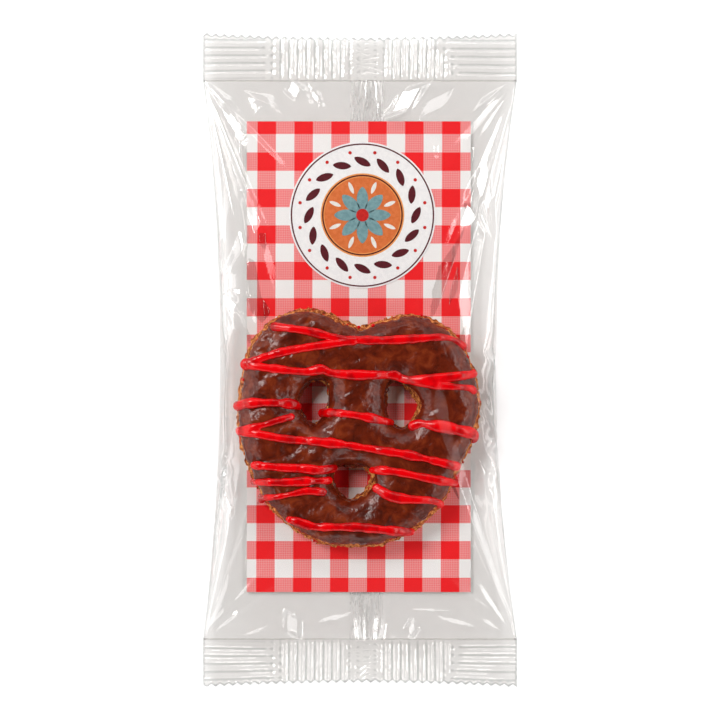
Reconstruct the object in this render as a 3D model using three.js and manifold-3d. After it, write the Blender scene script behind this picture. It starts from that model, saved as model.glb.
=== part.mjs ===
// A pretzel cookie coated in chocolate, sealed with its gingham card and round label in a clear
// flow-wrap bag. The pack lies on its back. Units are millimetres and +Z is up. The origin is the
// middle of the underside, +Y runs along the pack to the end that holds the label.

import * as THREE from "three";
import { mergeVertices } from "three/addons/utils/BufferGeometryUtils.js";
import Module from "manifold-3d";

// ---- driving dimensions ----------------------------------------------------------------------

const BAG = {
  sealRoot: 97.5,         // the body runs into an end seal this far from the middle
  sealWidth: 15.5,        // from the root to the cut edge
  edgeBow: 1.6,           // the cut edge dips this much at the middle
  leftWaist: 48.5,        // half widths at the waist
  rightWaist: 47.2,
  cornerHalfWidth: 54.6,  // half width at the end seals
  waistCurve: 2.1,        // how sharply the sides spread towards the corners
  crownHeight: 15.75,     // film over the drizzle
  crownTop: 12,           // the film is at crown height between these two stations
  crownBottom: -56,
  slackCurve: 1.9,        // fullness of the film between the crown and a seal
  flatEnd: 84,            // the underside is flat up to here
  sealHeight: 3.2,        // underside of a seal root
  rootThickness: 1.6,
  riseCurve: 1.5,         // how the underside lifts from there to a seal
  squareness: 4,          // superellipse power of the body's section
  underCut: 2,            // how far the section is pressed flat on its back
  floorThickness: 0.75,   // bottom sheet with the fin seal folded on it
  sides: 28,              // facets round the section and along the body
  stations: 24,
};

const SEAL = {
  thickness: 0.7,
  flutePitch: 3,
  fluteDepth: 0.5,
  fluteStart: 0.33,       // share of the width over which the flutes grow from nothing
  toothDepth: 1.1,
  toothStart: 0.9,        // share of the width beyond which the edge is cut to teeth
  droop: 1.2,
  overlap: 1.5,
};

const CARD = { width: 78.25, height: 164.5, thickness: 0.5, centreX: -0.45, centreY: 1.15 };

const LABEL = { radius: 25.6, thickness: 0.25, centreX: 0.85, centreY: 50.6, sides: 48 };

const COOKIE = {
  centreX: -0.9,
  centreY: -23.3,
  sideHeight: 4.2,      // upright side of the biscuit
  shoulderHeight: 6.6,  // the strands swell this much above their sides
  shoulderWidth: 6,     // and reach it at this distance from an edge
  shoulderSteps: 4,
  coatThickness: 1.25,
  coatInset: 1.1,       // bare rim of biscuit round the chocolate
  coatEdge: 0.5,        // blunt edge of the chocolate
  holeInset: 0.5,
};

const ICING = { radius: 1.25, sides: 6, stepLength: 6, centreRise: 0.2 };

const GAP = 0.3; // between pieces that are cut to fit each other
const FINEST_EDGE = 0.02; // slivers below this, left by a cut, are closed up
const SAME_CORNER = 1e-4; // corners nearer than this are one corner

// Outline of the biscuit and of its three gaps, as points of smooth closed curves round its centre.
const RIM_POINTS = [
  [-38.5, 24.9], [-30, 36.6], [-17.5, 41], [-6, 37.6], [1.2, 34.6], [9, 37.2], [21, 39], [33, 32.8],
  [41, 18.2], [41.7, 2], [36, -13], [27.3, -29.1], [13, -39.2], [-1, -41.3], [-15, -39.2],
  [-29, -29.4], [-38.3, -12.5], [-41.5, 4],
];
const GAP_POINTS = [
  [[-10.2, 14.6], [-14.5, 16.6], [-19.2, 13.2], [-20.2, 6.8], [-15.8, 0.9], [-10.8, 5]],
  [[10, 13.8], [13.6, 16.5], [18.6, 12.2], [21.2, 6.6], [16, -0.4], [10.4, 3.4]],
  [[-7.6, -13.9], [0, -13.2], [4.4, -15.6], [4, -20.4], [-2.6, -25.4], [-8.6, -20]],
];
const RIM_COUNT = 62; // corners of the rim and of a gap once they are faceted
const GAP_COUNT = 15;

// Each line of icing: start, end, and how far its middle bows off the straight (left of its run).
const ICING_LINES = [
  [-29, 34.6, 37, 27.8, -2.2],
  [-38, 22.4, 0, 29.6, 1.6],
  [-36, 22.2, 40, 18.4, -0.6],
  [19, 16.4, 39.5, 13.4, 0.4],
  [-41, 8, -21, 7.4, 1.0],
  [-40.5, -0.8, -22.5, 4, -0.4],
  [-40, -1.4, 34, -13, 1.5],
  [-12.4, 5, 11, 1.6, 0.7],
  [19.5, 1.2, 40, -2.8, 0.7],
  [-36, -12.9, -9.5, -14.2, 0.2],
  [-36, -18.9, -12.5, -18.2, 0.2],
  [-31.8, -24.2, -11.5, -22.4, 0.8],
  [5, -14.6, 34, -19.4, 0.9],
  [6.5, -20.8, 28.6, -26, -0.8],
  [-23.8, -31.6, 18.6, -36, -1.2],
];

// ---- helpers ---------------------------------------------------------------------------------

const wasm = await Module();
wasm.setup();

/** Turn a closed three.js geometry into a solid that can be joined and cut. */
function toSolid(geometry) {
  const bare = geometry.clone();
  for (const name of Object.keys(bare.attributes)) {
    if (name !== "position") bare.deleteAttribute(name);
  }
  const merged = mergeVertices(bare, SAME_CORNER);
  const mesh = new wasm.Mesh({
    numProp: 3,
    vertProperties: new Float32Array(merged.attributes.position.array),
    triVerts: new Uint32Array(merged.index.array),
  });
  return new wasm.Manifold(mesh);
}

/** Turn a solid back into a three.js geometry. */
function toGeometry(solid) {
  const mesh = solid.simplify(FINEST_EDGE).getMesh();
  const geometry = new THREE.BufferGeometry();
  geometry.setAttribute("position", new THREE.BufferAttribute(mesh.vertProperties, 3));
  geometry.setIndex(new THREE.BufferAttribute(mesh.triVerts, 1));
  geometry.computeVertexNormals();
  return geometry;
}

/**
 * A closed smooth curve through the points, as an anticlockwise ring of evenly spaced points. The
 * phase shifts them along by a share of their spacing, so that two rings' corners don't line up.
 */
function smoothRing(points, count, phase = 0) {
  const curve = new THREE.CatmullRomCurve3(points.map(([x, y]) => new THREE.Vector3(x, y, 0)), true);
  const ring = [];
  for (let i = 0; i < count; i += 1) {
    const point = curve.getPointAt((i + phase) / count);
    ring.push(new THREE.Vector2(point.x, point.y));
  }
  return THREE.ShapeUtils.isClockWise(ring) ? ring.reverse() : ring;
}

/** Move every point of an anticlockwise ring out along its normal, or in where the offset is negative. */
function offsetRing(ring, offset) {
  return ring.map((point, index) => {
    const before = ring[(index + ring.length - 1) % ring.length];
    const after = ring[(index + 1) % ring.length];
    const along = after.clone().sub(before).normalize();
    return new THREE.Vector2(point.x + along.y * offset, point.y - along.x * offset);
  });
}

/** Distance from a point to the nearest side of any of the rings. */
function distanceToRings(x, y, rings) {
  let nearest = Infinity;
  for (const ring of rings) {
    for (let i = 0; i < ring.length; i += 1) {
      const a = ring[i];
      const b = ring[(i + 1) % ring.length];
      const along = b.clone().sub(a);
      const t = ((x - a.x) * along.x + (y - a.y) * along.y) / along.lengthSq();
      const foot = a.clone().addScaledVector(along, THREE.MathUtils.clamp(t, 0, 1));
      nearest = Math.min(nearest, Math.hypot(x - foot.x, y - foot.y));
    }
  }
  return nearest;
}

/** An upright prism of an outline with gaps, from one height to another. */
function prism(outline, gaps, low, high) {
  const shape = new THREE.Shape(outline);
  shape.holes = gaps.map((gap) => new THREE.Path(gap));
  const geometry = new THREE.ExtrudeGeometry(shape, { depth: high - low, bevelEnabled: false });
  geometry.translate(0, 0, low);
  return toSolid(geometry);
}

/** A puffed slab on the plane of zero height: upright sides, then a quarter-round shoulder all round. */
function puffedSlab(outline, gaps, sideHeight, shoulderWidth, shoulderHeight) {
  const shape = new THREE.Shape(outline);
  shape.holes = gaps.map((gap) => new THREE.Path(gap));
  const geometry = new THREE.ExtrudeGeometry(shape, {
    depth: sideHeight,
    bevelThickness: shoulderHeight,
    bevelSize: shoulderWidth,
    bevelOffset: -shoulderWidth,
    bevelSegments: COOKIE.shoulderSteps,
  });
  const aboveTable = prism(offsetRing(outline, shoulderWidth), [], 0, sideHeight + 2 * shoulderHeight);
  return toSolid(geometry).intersect(aboveTable);
}

// ---- cookie ----------------------------------------------------------------------------------

const rimRing = smoothRing(RIM_POINTS, RIM_COUNT);
const gapRings = GAP_POINTS.map((points) => smoothRing(points, GAP_COUNT));
const cookieBase = BAG.floorThickness + CARD.thickness;

/** How much of its swelling a strand has at a distance in from its edge. */
function swelling(depth) {
  const across = 1 - Math.min(depth / COOKIE.shoulderWidth, 1);
  return Math.sqrt(1 - across * across);
}

/** Height of the biscuit's surface above its base. */
function biscuitHeight(x, y) {
  const depth = distanceToRings(x, y, [rimRing, ...gapRings]);
  return COOKIE.sideHeight + COOKIE.shoulderHeight * swelling(depth);
}

/** The biscuit: one puffed slab of dough with the three gaps of a pretzel, grown by a margin. */
function makeBiscuit(margin) {
  const outline = offsetRing(rimRing, margin);
  const gaps = gapRings.map((ring) => offsetRing(ring, -margin));
  const { sideHeight, shoulderWidth, shoulderHeight } = COOKIE;
  return puffedSlab(outline, gaps, sideHeight, shoulderWidth + margin, shoulderHeight + margin);
}

/** The path of one icing line over the chocolate. */
function icingPath([startX, startY, endX, endY, bow]) {
  const length = Math.hypot(endX - startX, endY - startY);
  const steps = Math.max(2, Math.round(length / ICING.stepLength));
  const points = [];
  for (let i = 0; i <= steps; i += 1) {
    const t = i / steps;
    const side = 4 * bow * t * (1 - t);
    const x = THREE.MathUtils.lerp(startX, endX, t) - (side * (endY - startY)) / length;
    const y = THREE.MathUtils.lerp(startY, endY, t) + (side * (endX - startX)) / length;
    points.push(new THREE.Vector3(x, y, biscuitHeight(x, y) + COOKIE.coatThickness + ICING.centreRise));
  }
  return { curve: new THREE.CatmullRomCurve3(points), steps };
}

/** One thick line of icing, a six-sided string that follows the chocolate. */
function makeIcingLine(line) {
  const section = new THREE.Shape();
  for (let i = 0; i < ICING.sides; i += 1) {
    const angle = (2 * Math.PI * i) / ICING.sides;
    const point = [ICING.radius * Math.cos(angle), ICING.radius * Math.sin(angle)];
    if (i === 0) section.moveTo(...point);
    else section.lineTo(...point);
  }
  const { curve, steps } = icingPath(line);
  return toSolid(new THREE.ExtrudeGeometry(section, { steps, extrudePath: curve, bevelEnabled: false }));
}

/** The chocolate with the lines of icing set on it. It is bare of the biscuit's rim all round. */
function makeCoat() {
  const edge = COOKIE.sideHeight + COOKIE.shoulderHeight * swelling(COOKIE.coatInset) + COOKIE.coatEdge;
  const crown = COOKIE.sideHeight + COOKIE.shoulderHeight + COOKIE.coatThickness;
  const outline = offsetRing(smoothRing(RIM_POINTS, RIM_COUNT, 0.5), -COOKIE.coatInset);
  const gaps = GAP_POINTS.map((points) => smoothRing(points, GAP_COUNT, 0.5))
    .map((ring) => offsetRing(ring, COOKIE.holeInset));
  let coat = puffedSlab(outline, gaps, edge, COOKIE.shoulderWidth - COOKIE.coatInset, crown - edge);
  for (const line of ICING_LINES) coat = coat.add(makeIcingLine(line));
  return coat.subtract(makeBiscuit(GAP)).intersect(prism(rimRing, [], 0, 2 * crown));
}

// ---- bag -------------------------------------------------------------------------------------

/** X of the bag's side at a station: side is -1 for the left and 1 for the right. */
function sideX(y, side) {
  const waist = side < 0 ? BAG.leftWaist : BAG.rightWaist;
  const reach = Math.min(Math.abs(y) / BAG.sealRoot, 1);
  return side * (waist + (BAG.cornerHalfWidth - waist) * reach ** BAG.waistCurve);
}

/** Height of the film's top at a station along the pack. */
function crownAt(y) {
  const rootTop = BAG.sealHeight + BAG.rootThickness;
  const above = (y - BAG.crownTop) / (BAG.sealRoot - BAG.crownTop);
  const below = (BAG.crownBottom - y) / (BAG.crownBottom + BAG.sealRoot);
  const slack = THREE.MathUtils.clamp(Math.max(above, below, 0), 0, 1) ** BAG.slackCurve;
  return THREE.MathUtils.lerp(BAG.crownHeight, rootTop, slack);
}

/** How far a station is along the rise of the underside to a seal: 0 on the flat and 1 at the seal. */
function riseAt(y) {
  return THREE.MathUtils.clamp((Math.abs(y) - BAG.flatEnd) / (BAG.sealRoot - BAG.flatEnd), 0, 1);
}

/** The filled body of the bag between its two end seals, out to the film. */
function makeBody() {
  const geometry = new THREE.CylinderGeometry(1, 1, 1, BAG.sides, BAG.stations);
  const position = geometry.attributes.position;
  for (let i = 0; i < position.count; i += 1) {
    const y = 2 * BAG.sealRoot * position.getY(i);
    const across = position.getX(i);
    const up = position.getZ(i);
    const top = crownAt(y);
    const underside = BAG.sealHeight * riseAt(y) ** BAG.riseCurve;
    const low = underside - BAG.underCut * (1 - riseAt(y));
    const power = 2 / BAG.squareness;
    const x = Math.abs(sideX(y, Math.sign(across))) * Math.sign(across) * Math.abs(across) ** power;
    const z = (top + low) / 2 + ((top - low) / 2) * Math.sign(up) * Math.abs(up) ** power;
    position.setXYZ(i, x, y, Math.max(z, underside));
  }
  return toSolid(geometry);
}

/** One crimped end seal, fluted across and cut to teeth. end is 1 for the top and -1 for the bottom. */
function makeSeal(end) {
  const width = 2 * BAG.cornerHalfWidth;
  const columns = 2 * Math.round(width / SEAL.flutePitch);
  const length = BAG.sealWidth + SEAL.overlap;
  const geometry = new THREE.BoxGeometry(width, length, SEAL.thickness, columns, 2, 1);
  const position = geometry.attributes.position;
  const middle = BAG.sealHeight + BAG.rootThickness / 2;
  for (let i = 0; i < position.count; i += 1) {
    const x = position.getX(i);
    const along = (position.getY(i) * end) / length + 0.5;
    const column = Math.round((x / width + 0.5) * columns);
    const side = column % 2 ? 0.5 : -0.5;
    const flute = side * SEAL.fluteDepth * Math.min(along / SEAL.fluteStart, 1);
    const tooth = along > SEAL.toothStart ? side * SEAL.toothDepth : 0;
    const bow = BAG.edgeBow * (1 - (2 * x / width) ** 2) * along;
    const y = end * (BAG.sealRoot + along * length - SEAL.overlap + tooth - bow);
    position.setXYZ(i, x, y, middle + position.getZ(i) + flute - SEAL.droop * along);
  }
  return toSolid(geometry);
}

/** The card's outline grown by a margin. */
function cardRing(margin) {
  const halfWidth = CARD.width / 2 + margin;
  const halfHeight = CARD.height / 2 + margin;
  const corners = [[-1, -1], [1, -1], [1, 1], [-1, 1]];
  const centre = new THREE.Vector2(CARD.centreX, CARD.centreY);
  return corners.map(([u, v]) => new THREE.Vector2(u * halfWidth, v * halfHeight).add(centre));
}

/** The bag, filled out to its film round the card and the label, and open over the cookie. */
function makeBag() {
  const cookieCentre = new THREE.Vector2(COOKIE.centreX, COOKIE.centreY);
  const cookieRoom = offsetRing(rimRing, 2 * GAP).map((point) => point.add(cookieCentre));
  return makeBody()
    .add(makeSeal(1))
    .add(makeSeal(-1))
    .subtract(prism(cardRing(GAP), [], BAG.floorThickness, cookieBase + GAP))
    .subtract(makeLabel(GAP))
    .subtract(prism(cookieRoom, [], BAG.floorThickness, 2 * BAG.crownHeight));
}

// ---- card and label --------------------------------------------------------------------------

/** The backing card, one flat board. */
function makeCard() {
  return prism(cardRing(0), [], BAG.floorThickness, BAG.floorThickness + CARD.thickness);
}

/** The round label stuck on the card, grown by a margin. */
function makeLabel(margin) {
  const radius = LABEL.radius + margin;
  const thickness = LABEL.thickness + margin;
  const geometry = new THREE.CylinderGeometry(radius, radius, thickness, LABEL.sides);
  geometry.rotateX(Math.PI / 2);
  geometry.translate(LABEL.centreX, LABEL.centreY, cookieBase + thickness / 2);
  return toSolid(geometry);
}

// ---- assembly --------------------------------------------------------------------------------

/** A named mesh of one solid, with its own material. */
function piece(name, solid, look) {
  const material = new THREE.MeshStandardMaterial({ metalness: 0, ...look });
  const mesh = new THREE.Mesh(toGeometry(solid), material);
  mesh.name = name;
  return mesh;
}

const pack = new THREE.Group();
const cookie = new THREE.Group();
cookie.position.set(COOKIE.centreX, COOKIE.centreY, cookieBase);
cookie.add(piece("biscuit", makeBiscuit(0), { color: 0xb8763a, roughness: 0.85 }));
cookie.add(piece("chocolate_coat", makeCoat(), { color: 0x54281a, roughness: 0.4 }));
pack.add(cookie);
pack.add(piece("card", makeCard(), { color: 0xdc3a44, roughness: 0.6 }));
pack.add(piece("label", makeLabel(0), { color: 0xf0f0ee, roughness: 0.45 }));
pack.add(piece("bag", makeBag(), { color: 0xe4e6e8, roughness: 0.2, transparent: true, opacity: 0.35 }));

export default pack;
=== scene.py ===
"""A chocolate-coated pretzel cookie, sealed with its card and label in a clear flow-wrap bag.

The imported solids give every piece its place. Sizes are in millimetres until a mesh is made.
"""

import logging
import math
from dataclasses import dataclass, field
from enum import Enum
from typing import Callable, Iterable, Sequence

import bmesh
import bpy
import numpy as np
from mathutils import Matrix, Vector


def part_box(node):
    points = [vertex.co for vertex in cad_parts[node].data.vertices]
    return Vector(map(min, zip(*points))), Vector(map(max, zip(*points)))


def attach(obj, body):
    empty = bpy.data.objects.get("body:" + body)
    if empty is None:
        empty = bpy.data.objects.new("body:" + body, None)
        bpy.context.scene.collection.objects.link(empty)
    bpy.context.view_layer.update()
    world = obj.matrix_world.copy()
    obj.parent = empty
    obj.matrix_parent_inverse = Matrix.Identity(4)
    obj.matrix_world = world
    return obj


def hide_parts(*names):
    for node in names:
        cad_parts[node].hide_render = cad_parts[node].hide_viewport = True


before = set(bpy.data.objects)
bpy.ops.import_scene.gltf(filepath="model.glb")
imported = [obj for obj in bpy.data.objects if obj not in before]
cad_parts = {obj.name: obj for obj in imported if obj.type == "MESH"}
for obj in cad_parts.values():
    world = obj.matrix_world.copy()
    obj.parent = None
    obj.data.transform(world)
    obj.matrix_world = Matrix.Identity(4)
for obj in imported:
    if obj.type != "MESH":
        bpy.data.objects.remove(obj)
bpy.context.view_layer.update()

import openvdb
from mathutils import Vector

MM = 0.001
log = logging.getLogger("pretzel_pack")


# ---- helpers ---------------------------------------------------------------------------------


def srgb(code: str) -> tuple[float, float, float, float]:
    """Turn an sRGB hex colour into linear values.

    Args:
        code: the colour as "#rrggbb".

    Returns:
        Linear red, green and blue, and an alpha of one.
    """
    channels = [int(code[i:i + 2], 16) / 255 for i in (1, 3, 5)]
    linear = [c / 12.92 if c <= 0.04045 else ((c + 0.055) / 1.055) ** 2.4 for c in channels]
    return (*linear, 1.0)


def per_metre(size_mm: float) -> float:
    """Return the texture scale of a pattern that repeats every size_mm millimetres."""
    return 1 / (size_mm * MM)


def add_node(tree: bpy.types.NodeTree, kind: str, settings: dict | None = None,
             links: dict | None = None) -> bpy.types.Node:
    """Add one shader node.

    Args:
        tree: the material's node tree.
        kind: the node's Blender type name.
        settings: values by name. A name the node has is set on it, "stops" fills its colour
            ramp, and any other name or number is an input socket.
        links: output sockets by the input's name or number.

    Returns:
        The new node.
    """
    node = tree.nodes.new(kind)
    for key, value in (settings or {}).items():
        if key == "stops":
            ramp = node.color_ramp.elements
            while len(ramp) < len(value):
                ramp.new(0.5)
            for stop, (position, colour) in zip(ramp, value):
                stop.position = position
                stop.color = colour
        elif isinstance(key, str) and hasattr(node, key):
            setattr(node, key, value)
        else:
            node.inputs[key].default_value = value
    for key, socket in (links or {}).items():
        tree.links.new(socket, node.inputs[key])
    return node


def new_material(name: str) -> tuple[bpy.types.Material, bpy.types.NodeTree, bpy.types.Node]:
    """Start a material with nothing but its output.

    Args:
        name: the material's name.

    Returns:
        The material, its node tree and its output node.
    """
    material = bpy.data.materials.new(name)
    material.use_nodes = True
    material.node_tree.nodes.clear()
    output = add_node(material.node_tree, "ShaderNodeOutputMaterial")
    return material, material.node_tree, output


def make_object(name: str, points: np.ndarray, faces: Sequence, material: bpy.types.Material,
                smooth: bool = True) -> bpy.types.Object:
    """Make a mesh object that rides on the pack.

    Args:
        name: the piece's name.
        points: its corners in millimetres.
        faces: its faces, as corner numbers.
        material: its finish.
        smooth: whether its faces are shaded smooth.

    Returns:
        The new object, in metres.
    """
    mesh = bpy.data.meshes.new(name)
    sides = faces.tolist() if isinstance(faces, np.ndarray) else [list(face) for face in faces]
    mesh.from_pydata((np.asarray(points, float) * MM).tolist(), [], sides)
    mesh.polygons.foreach_set("use_smooth", [smooth] * len(mesh.polygons))
    mesh.materials.append(material)
    mesh.validate()
    piece = bpy.data.objects.new(name, mesh)
    bpy.context.scene.collection.objects.link(piece)
    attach(piece, "root")
    log.info("%s: %d faces", name, len(mesh.polygons))
    return piece


def mark_points(piece: bpy.types.Object, mark: str, values: np.ndarray) -> None:
    """Give each corner of a piece a value, which its finish reads by the mark's name."""
    attribute = piece.data.attributes.new(mark, "FLOAT", "POINT")
    attribute.data.foreach_set("value", values.astype(np.float32).ravel())


def grid_quads(columns: int, rows: int) -> np.ndarray:
    """Return the four-sided faces between a grid's points, as point numbers."""
    index = np.arange(columns * rows).reshape(columns, rows)
    return np.stack([index[:-1, :-1], index[1:, :-1], index[1:, 1:], index[:-1, 1:]], -1).reshape(-1, 4)


def catmull_rom(a: np.ndarray, b: np.ndarray, c: np.ndarray, d: np.ndarray, share: np.ndarray) -> np.ndarray:
    """Return points at shares of the way from b to c, on the smooth curve that runs on to a and d."""
    return 0.5 * (2 * b + (c - a) * share + (2 * a - 5 * b + 4 * c - d) * share ** 2
                  + (3 * b - a - 3 * c + d) * share ** 3)


def smooth_ring(points: Sequence, count: int) -> np.ndarray:
    """Run a closed smooth curve through points.

    Args:
        points: corners the curve passes through.
        count: how many points to return for each corner.

    Returns:
        The points of the curve, one row each.
    """
    corners = np.asarray(points, float)
    share = (np.arange(count) / count)[None, :, None]
    four = [np.roll(corners, turn, 0)[:, None, :] for turn in (1, 0, -1, -2)]
    return catmull_rom(*four, share).reshape(-1, corners.shape[1])


def signed_distance(ring: np.ndarray, x: np.ndarray, y: np.ndarray) -> np.ndarray:
    """Measure how far points lie inside a closed ring.

    Args:
        ring: the ring's corners.
        x: the points' first coordinates.
        y: the points' second coordinates.

    Returns:
        The distance to the ring, negative outside it.
    """
    nearest = np.full(x.shape, np.inf)
    inside = np.zeros(x.shape, bool)
    for (ax, ay), (bx, by) in zip(ring, np.roll(ring, -1, 0)):
        along = ((x - ax) * (bx - ax) + (y - ay) * (by - ay)) / ((bx - ax) ** 2 + (by - ay) ** 2)
        along = np.clip(along, 0, 1)
        nearest = np.minimum(nearest, (x - ax - along * (bx - ax)) ** 2 + (y - ay - along * (by - ay)) ** 2)
        if ay != by:
            inside ^= ((ay > y) != (by > y)) & (x < (bx - ax) * (y - ay) / (by - ay) + ax)
    return np.where(inside, 1, -1) * np.sqrt(nearest)


def smooth_min(a: np.ndarray, b: np.ndarray, blend: float) -> np.ndarray:
    """Take the lower of two fields, rounded where they meet.

    Args:
        a: the first field.
        b: the second field.
        blend: width of the rounding in millimetres.

    Returns:
        The blended field.
    """
    h = np.clip(0.5 + 0.5 * (b - a) / blend, 0, 1)
    return b + (a - b) * h - blend * h * (1 - h)


@dataclass
class LatticeNoise:
    """Smooth noise from seeded random values on a cubic lattice."""

    seed: int
    size: int = 48
    values: np.ndarray = field(init=False)

    def __post_init__(self) -> None:
        """Draw the lattice's values."""
        self.values = np.random.default_rng(self.seed).uniform(-1, 1, (self.size,) * 3).astype(np.float32)

    def at(self, x: np.ndarray, y: np.ndarray, z: np.ndarray | float, wavelength: float) -> np.ndarray:
        """Sample the noise.

        Args:
            x: first coordinates in millimetres.
            y: second coordinates.
            z: third coordinates, or one for all.
            wavelength: size of the noise's lumps in millimetres.

        Returns:
            Values from about minus one to one.
        """
        total = np.zeros(np.broadcast(x, y, z).shape, np.float32)
        cells = [np.floor(np.asarray(c) / wavelength).astype(int) for c in (x, y, z)]
        rests = [np.asarray(c) / wavelength - cell for c, cell in zip((x, y, z), cells)]
        eased = [(r * r * (3 - 2 * r)).astype(np.float32) for r in rests]
        for corner in range(8):
            bits = [(corner >> axis) & 1 for axis in range(3)]
            index = tuple((cell + bit) % self.size for cell, bit in zip(cells, bits))
            weight = np.float32(1)
            for ease, bit in zip(eased, bits):
                weight = weight * (ease if bit else 1 - ease)
            total += self.values[index] * weight
        return total

    def layers(self, x: np.ndarray, y: np.ndarray, z: np.ndarray | float,
               strengths: dict[float, float]) -> np.ndarray:
        """Add up noise of several sizes, given as strength by wavelength."""
        return sum(strength * self.at(x, y, z, size) for size, strength in strengths.items())


@dataclass
class VolumeGrid:
    """A box of evenly spaced sample points, whose fields are turned into meshes."""

    low: tuple[float, float, float]
    high: tuple[float, float, float]
    step: float

    def __post_init__(self) -> None:
        """Lay out the sample points."""
        axes = [np.arange(a, b, self.step, dtype=np.float32) for a, b in zip(self.low, self.high)]
        self.x, self.y, self.z = np.meshgrid(*axes, indexing="ij", sparse=True)

    def plan(self) -> tuple[np.ndarray, np.ndarray]:
        """Return the first and second coordinates of one layer of the grid."""
        return np.broadcast_arrays(self.x[:, :, 0], self.y[:, :, 0])

    def mesh(self, inside: np.ndarray) -> tuple[np.ndarray, np.ndarray]:
        """Find the surface where a field is zero.

        Args:
            inside: the field, positive inside the body.

        Returns:
            Corners in millimetres and four-sided faces.
        """
        limit = 4 * self.step
        grid = openvdb.FloatGrid(limit)
        grid.copyFromArray(np.clip(-inside, -limit, limit).astype(np.float32))
        points, quads = grid.convertToQuads(0.0)
        return points * self.step + np.array(self.low), quads


# ---- finishes --------------------------------------------------------------------------------


@dataclass(frozen=True)
class BakedDough:
    """Baked biscuit dough: matt and crumbly, golden with browner grains and specks of icing."""

    name: str = "biscuit_dough_baked"
    gold: str = "#E29A58"
    crust: str = "#B05C28"
    toasted: str = "#5A240C"
    icing_speck: str = "#B8160C"

    def build(self) -> bpy.types.Material:
        """Return the material: grain colours from noise, a rough skin and a gritty bump."""
        material, tree, output = new_material(self.name)
        where = add_node(tree, "ShaderNodeTexCoord")
        grain = add_node(tree, "ShaderNodeTexNoise",
                         {"Scale": per_metre(1.3), "Detail": 5.0, "Roughness": 0.7},
                         {"Vector": where.outputs["Object"]})
        shades = add_node(tree, "ShaderNodeValToRGB",
                          {"stops": [(0.4, srgb(self.toasted)), (0.5, srgb(self.crust)),
                                     (0.6, srgb(self.gold))]},
                          {"Fac": grain.outputs["Fac"]})
        specks = add_node(tree, "ShaderNodeTexNoise", {"Scale": per_metre(2.4), "Detail": 2.0},
                          {"Vector": where.outputs["Object"]})
        mask = add_node(tree, "ShaderNodeMapRange", {"From Min": 0.62, "From Max": 0.66},
                        {"Value": specks.outputs["Fac"]})
        colour = add_node(tree, "ShaderNodeMix", {"data_type": "RGBA", 7: srgb(self.icing_speck)},
                          {0: mask.outputs["Result"], 6: shades.outputs["Color"]})
        grit = add_node(tree, "ShaderNodeTexNoise", {"Scale": per_metre(0.7), "Detail": 4.0},
                        {"Vector": where.outputs["Object"]})
        bump = add_node(tree, "ShaderNodeBump", {"Strength": 0.9, "Distance": 0.35 * MM},
                        {"Height": grit.outputs["Fac"]})
        shader = add_node(tree, "ShaderNodeBsdfPrincipled",
                          {"Roughness": 0.8, "IOR": 1.45, "Specular IOR Level": 0.25},
                          {"Base Color": colour.outputs[2], "Normal": bump.outputs["Normal"]})
        tree.links.new(shader.outputs[0], output.inputs["Surface"])
        return material


@dataclass(frozen=True)
class MilkChocolate:
    """Poured milk chocolate: brown with redder and darker patches, a soft uneven gloss."""

    name: str = "milk_chocolate_poured"
    dark: str = "#451206"
    brown: str = "#641F0C"
    warm: str = "#843518"

    def build(self) -> bpy.types.Material:
        """Return the material: patchy brown, gloss that varies and small ripples from setting."""
        material, tree, output = new_material(self.name)
        where = add_node(tree, "ShaderNodeTexCoord")
        patches = add_node(tree, "ShaderNodeTexNoise",
                           {"Scale": per_metre(5), "Detail": 6.0, "Roughness": 0.6, "Distortion": 0.6},
                           {"Vector": where.outputs["Object"]})
        shades = add_node(tree, "ShaderNodeValToRGB",
                          {"stops": [(0.32, srgb(self.dark)), (0.5, srgb(self.brown)),
                                     (0.7, srgb(self.warm))]},
                          {"Fac": patches.outputs["Fac"]})
        bloom = add_node(tree, "ShaderNodeTexNoise", {"Scale": per_metre(3), "Detail": 3.0},
                         {"Vector": where.outputs["Object"]})
        gloss = add_node(tree, "ShaderNodeMapRange", {"To Min": 0.16, "To Max": 0.33},
                         {"Value": bloom.outputs["Fac"]})
        ripples = add_node(tree, "ShaderNodeTexNoise",
                           {"Scale": per_metre(2.8), "Detail": 2.5, "Roughness": 0.5, "Distortion": 0.4},
                           {"Vector": where.outputs["Object"]})
        bump = add_node(tree, "ShaderNodeBump", {"Strength": 0.8, "Distance": 0.5 * MM},
                        {"Height": ripples.outputs["Fac"]})
        shader = add_node(tree, "ShaderNodeBsdfPrincipled", {"IOR": 1.46, "Specular IOR Level": 0.42},
                          {"Base Color": shades.outputs["Color"], "Roughness": gloss.outputs["Result"],
                           "Normal": bump.outputs["Normal"]})
        tree.links.new(shader.outputs[0], output.inputs["Surface"])
        return material


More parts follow.
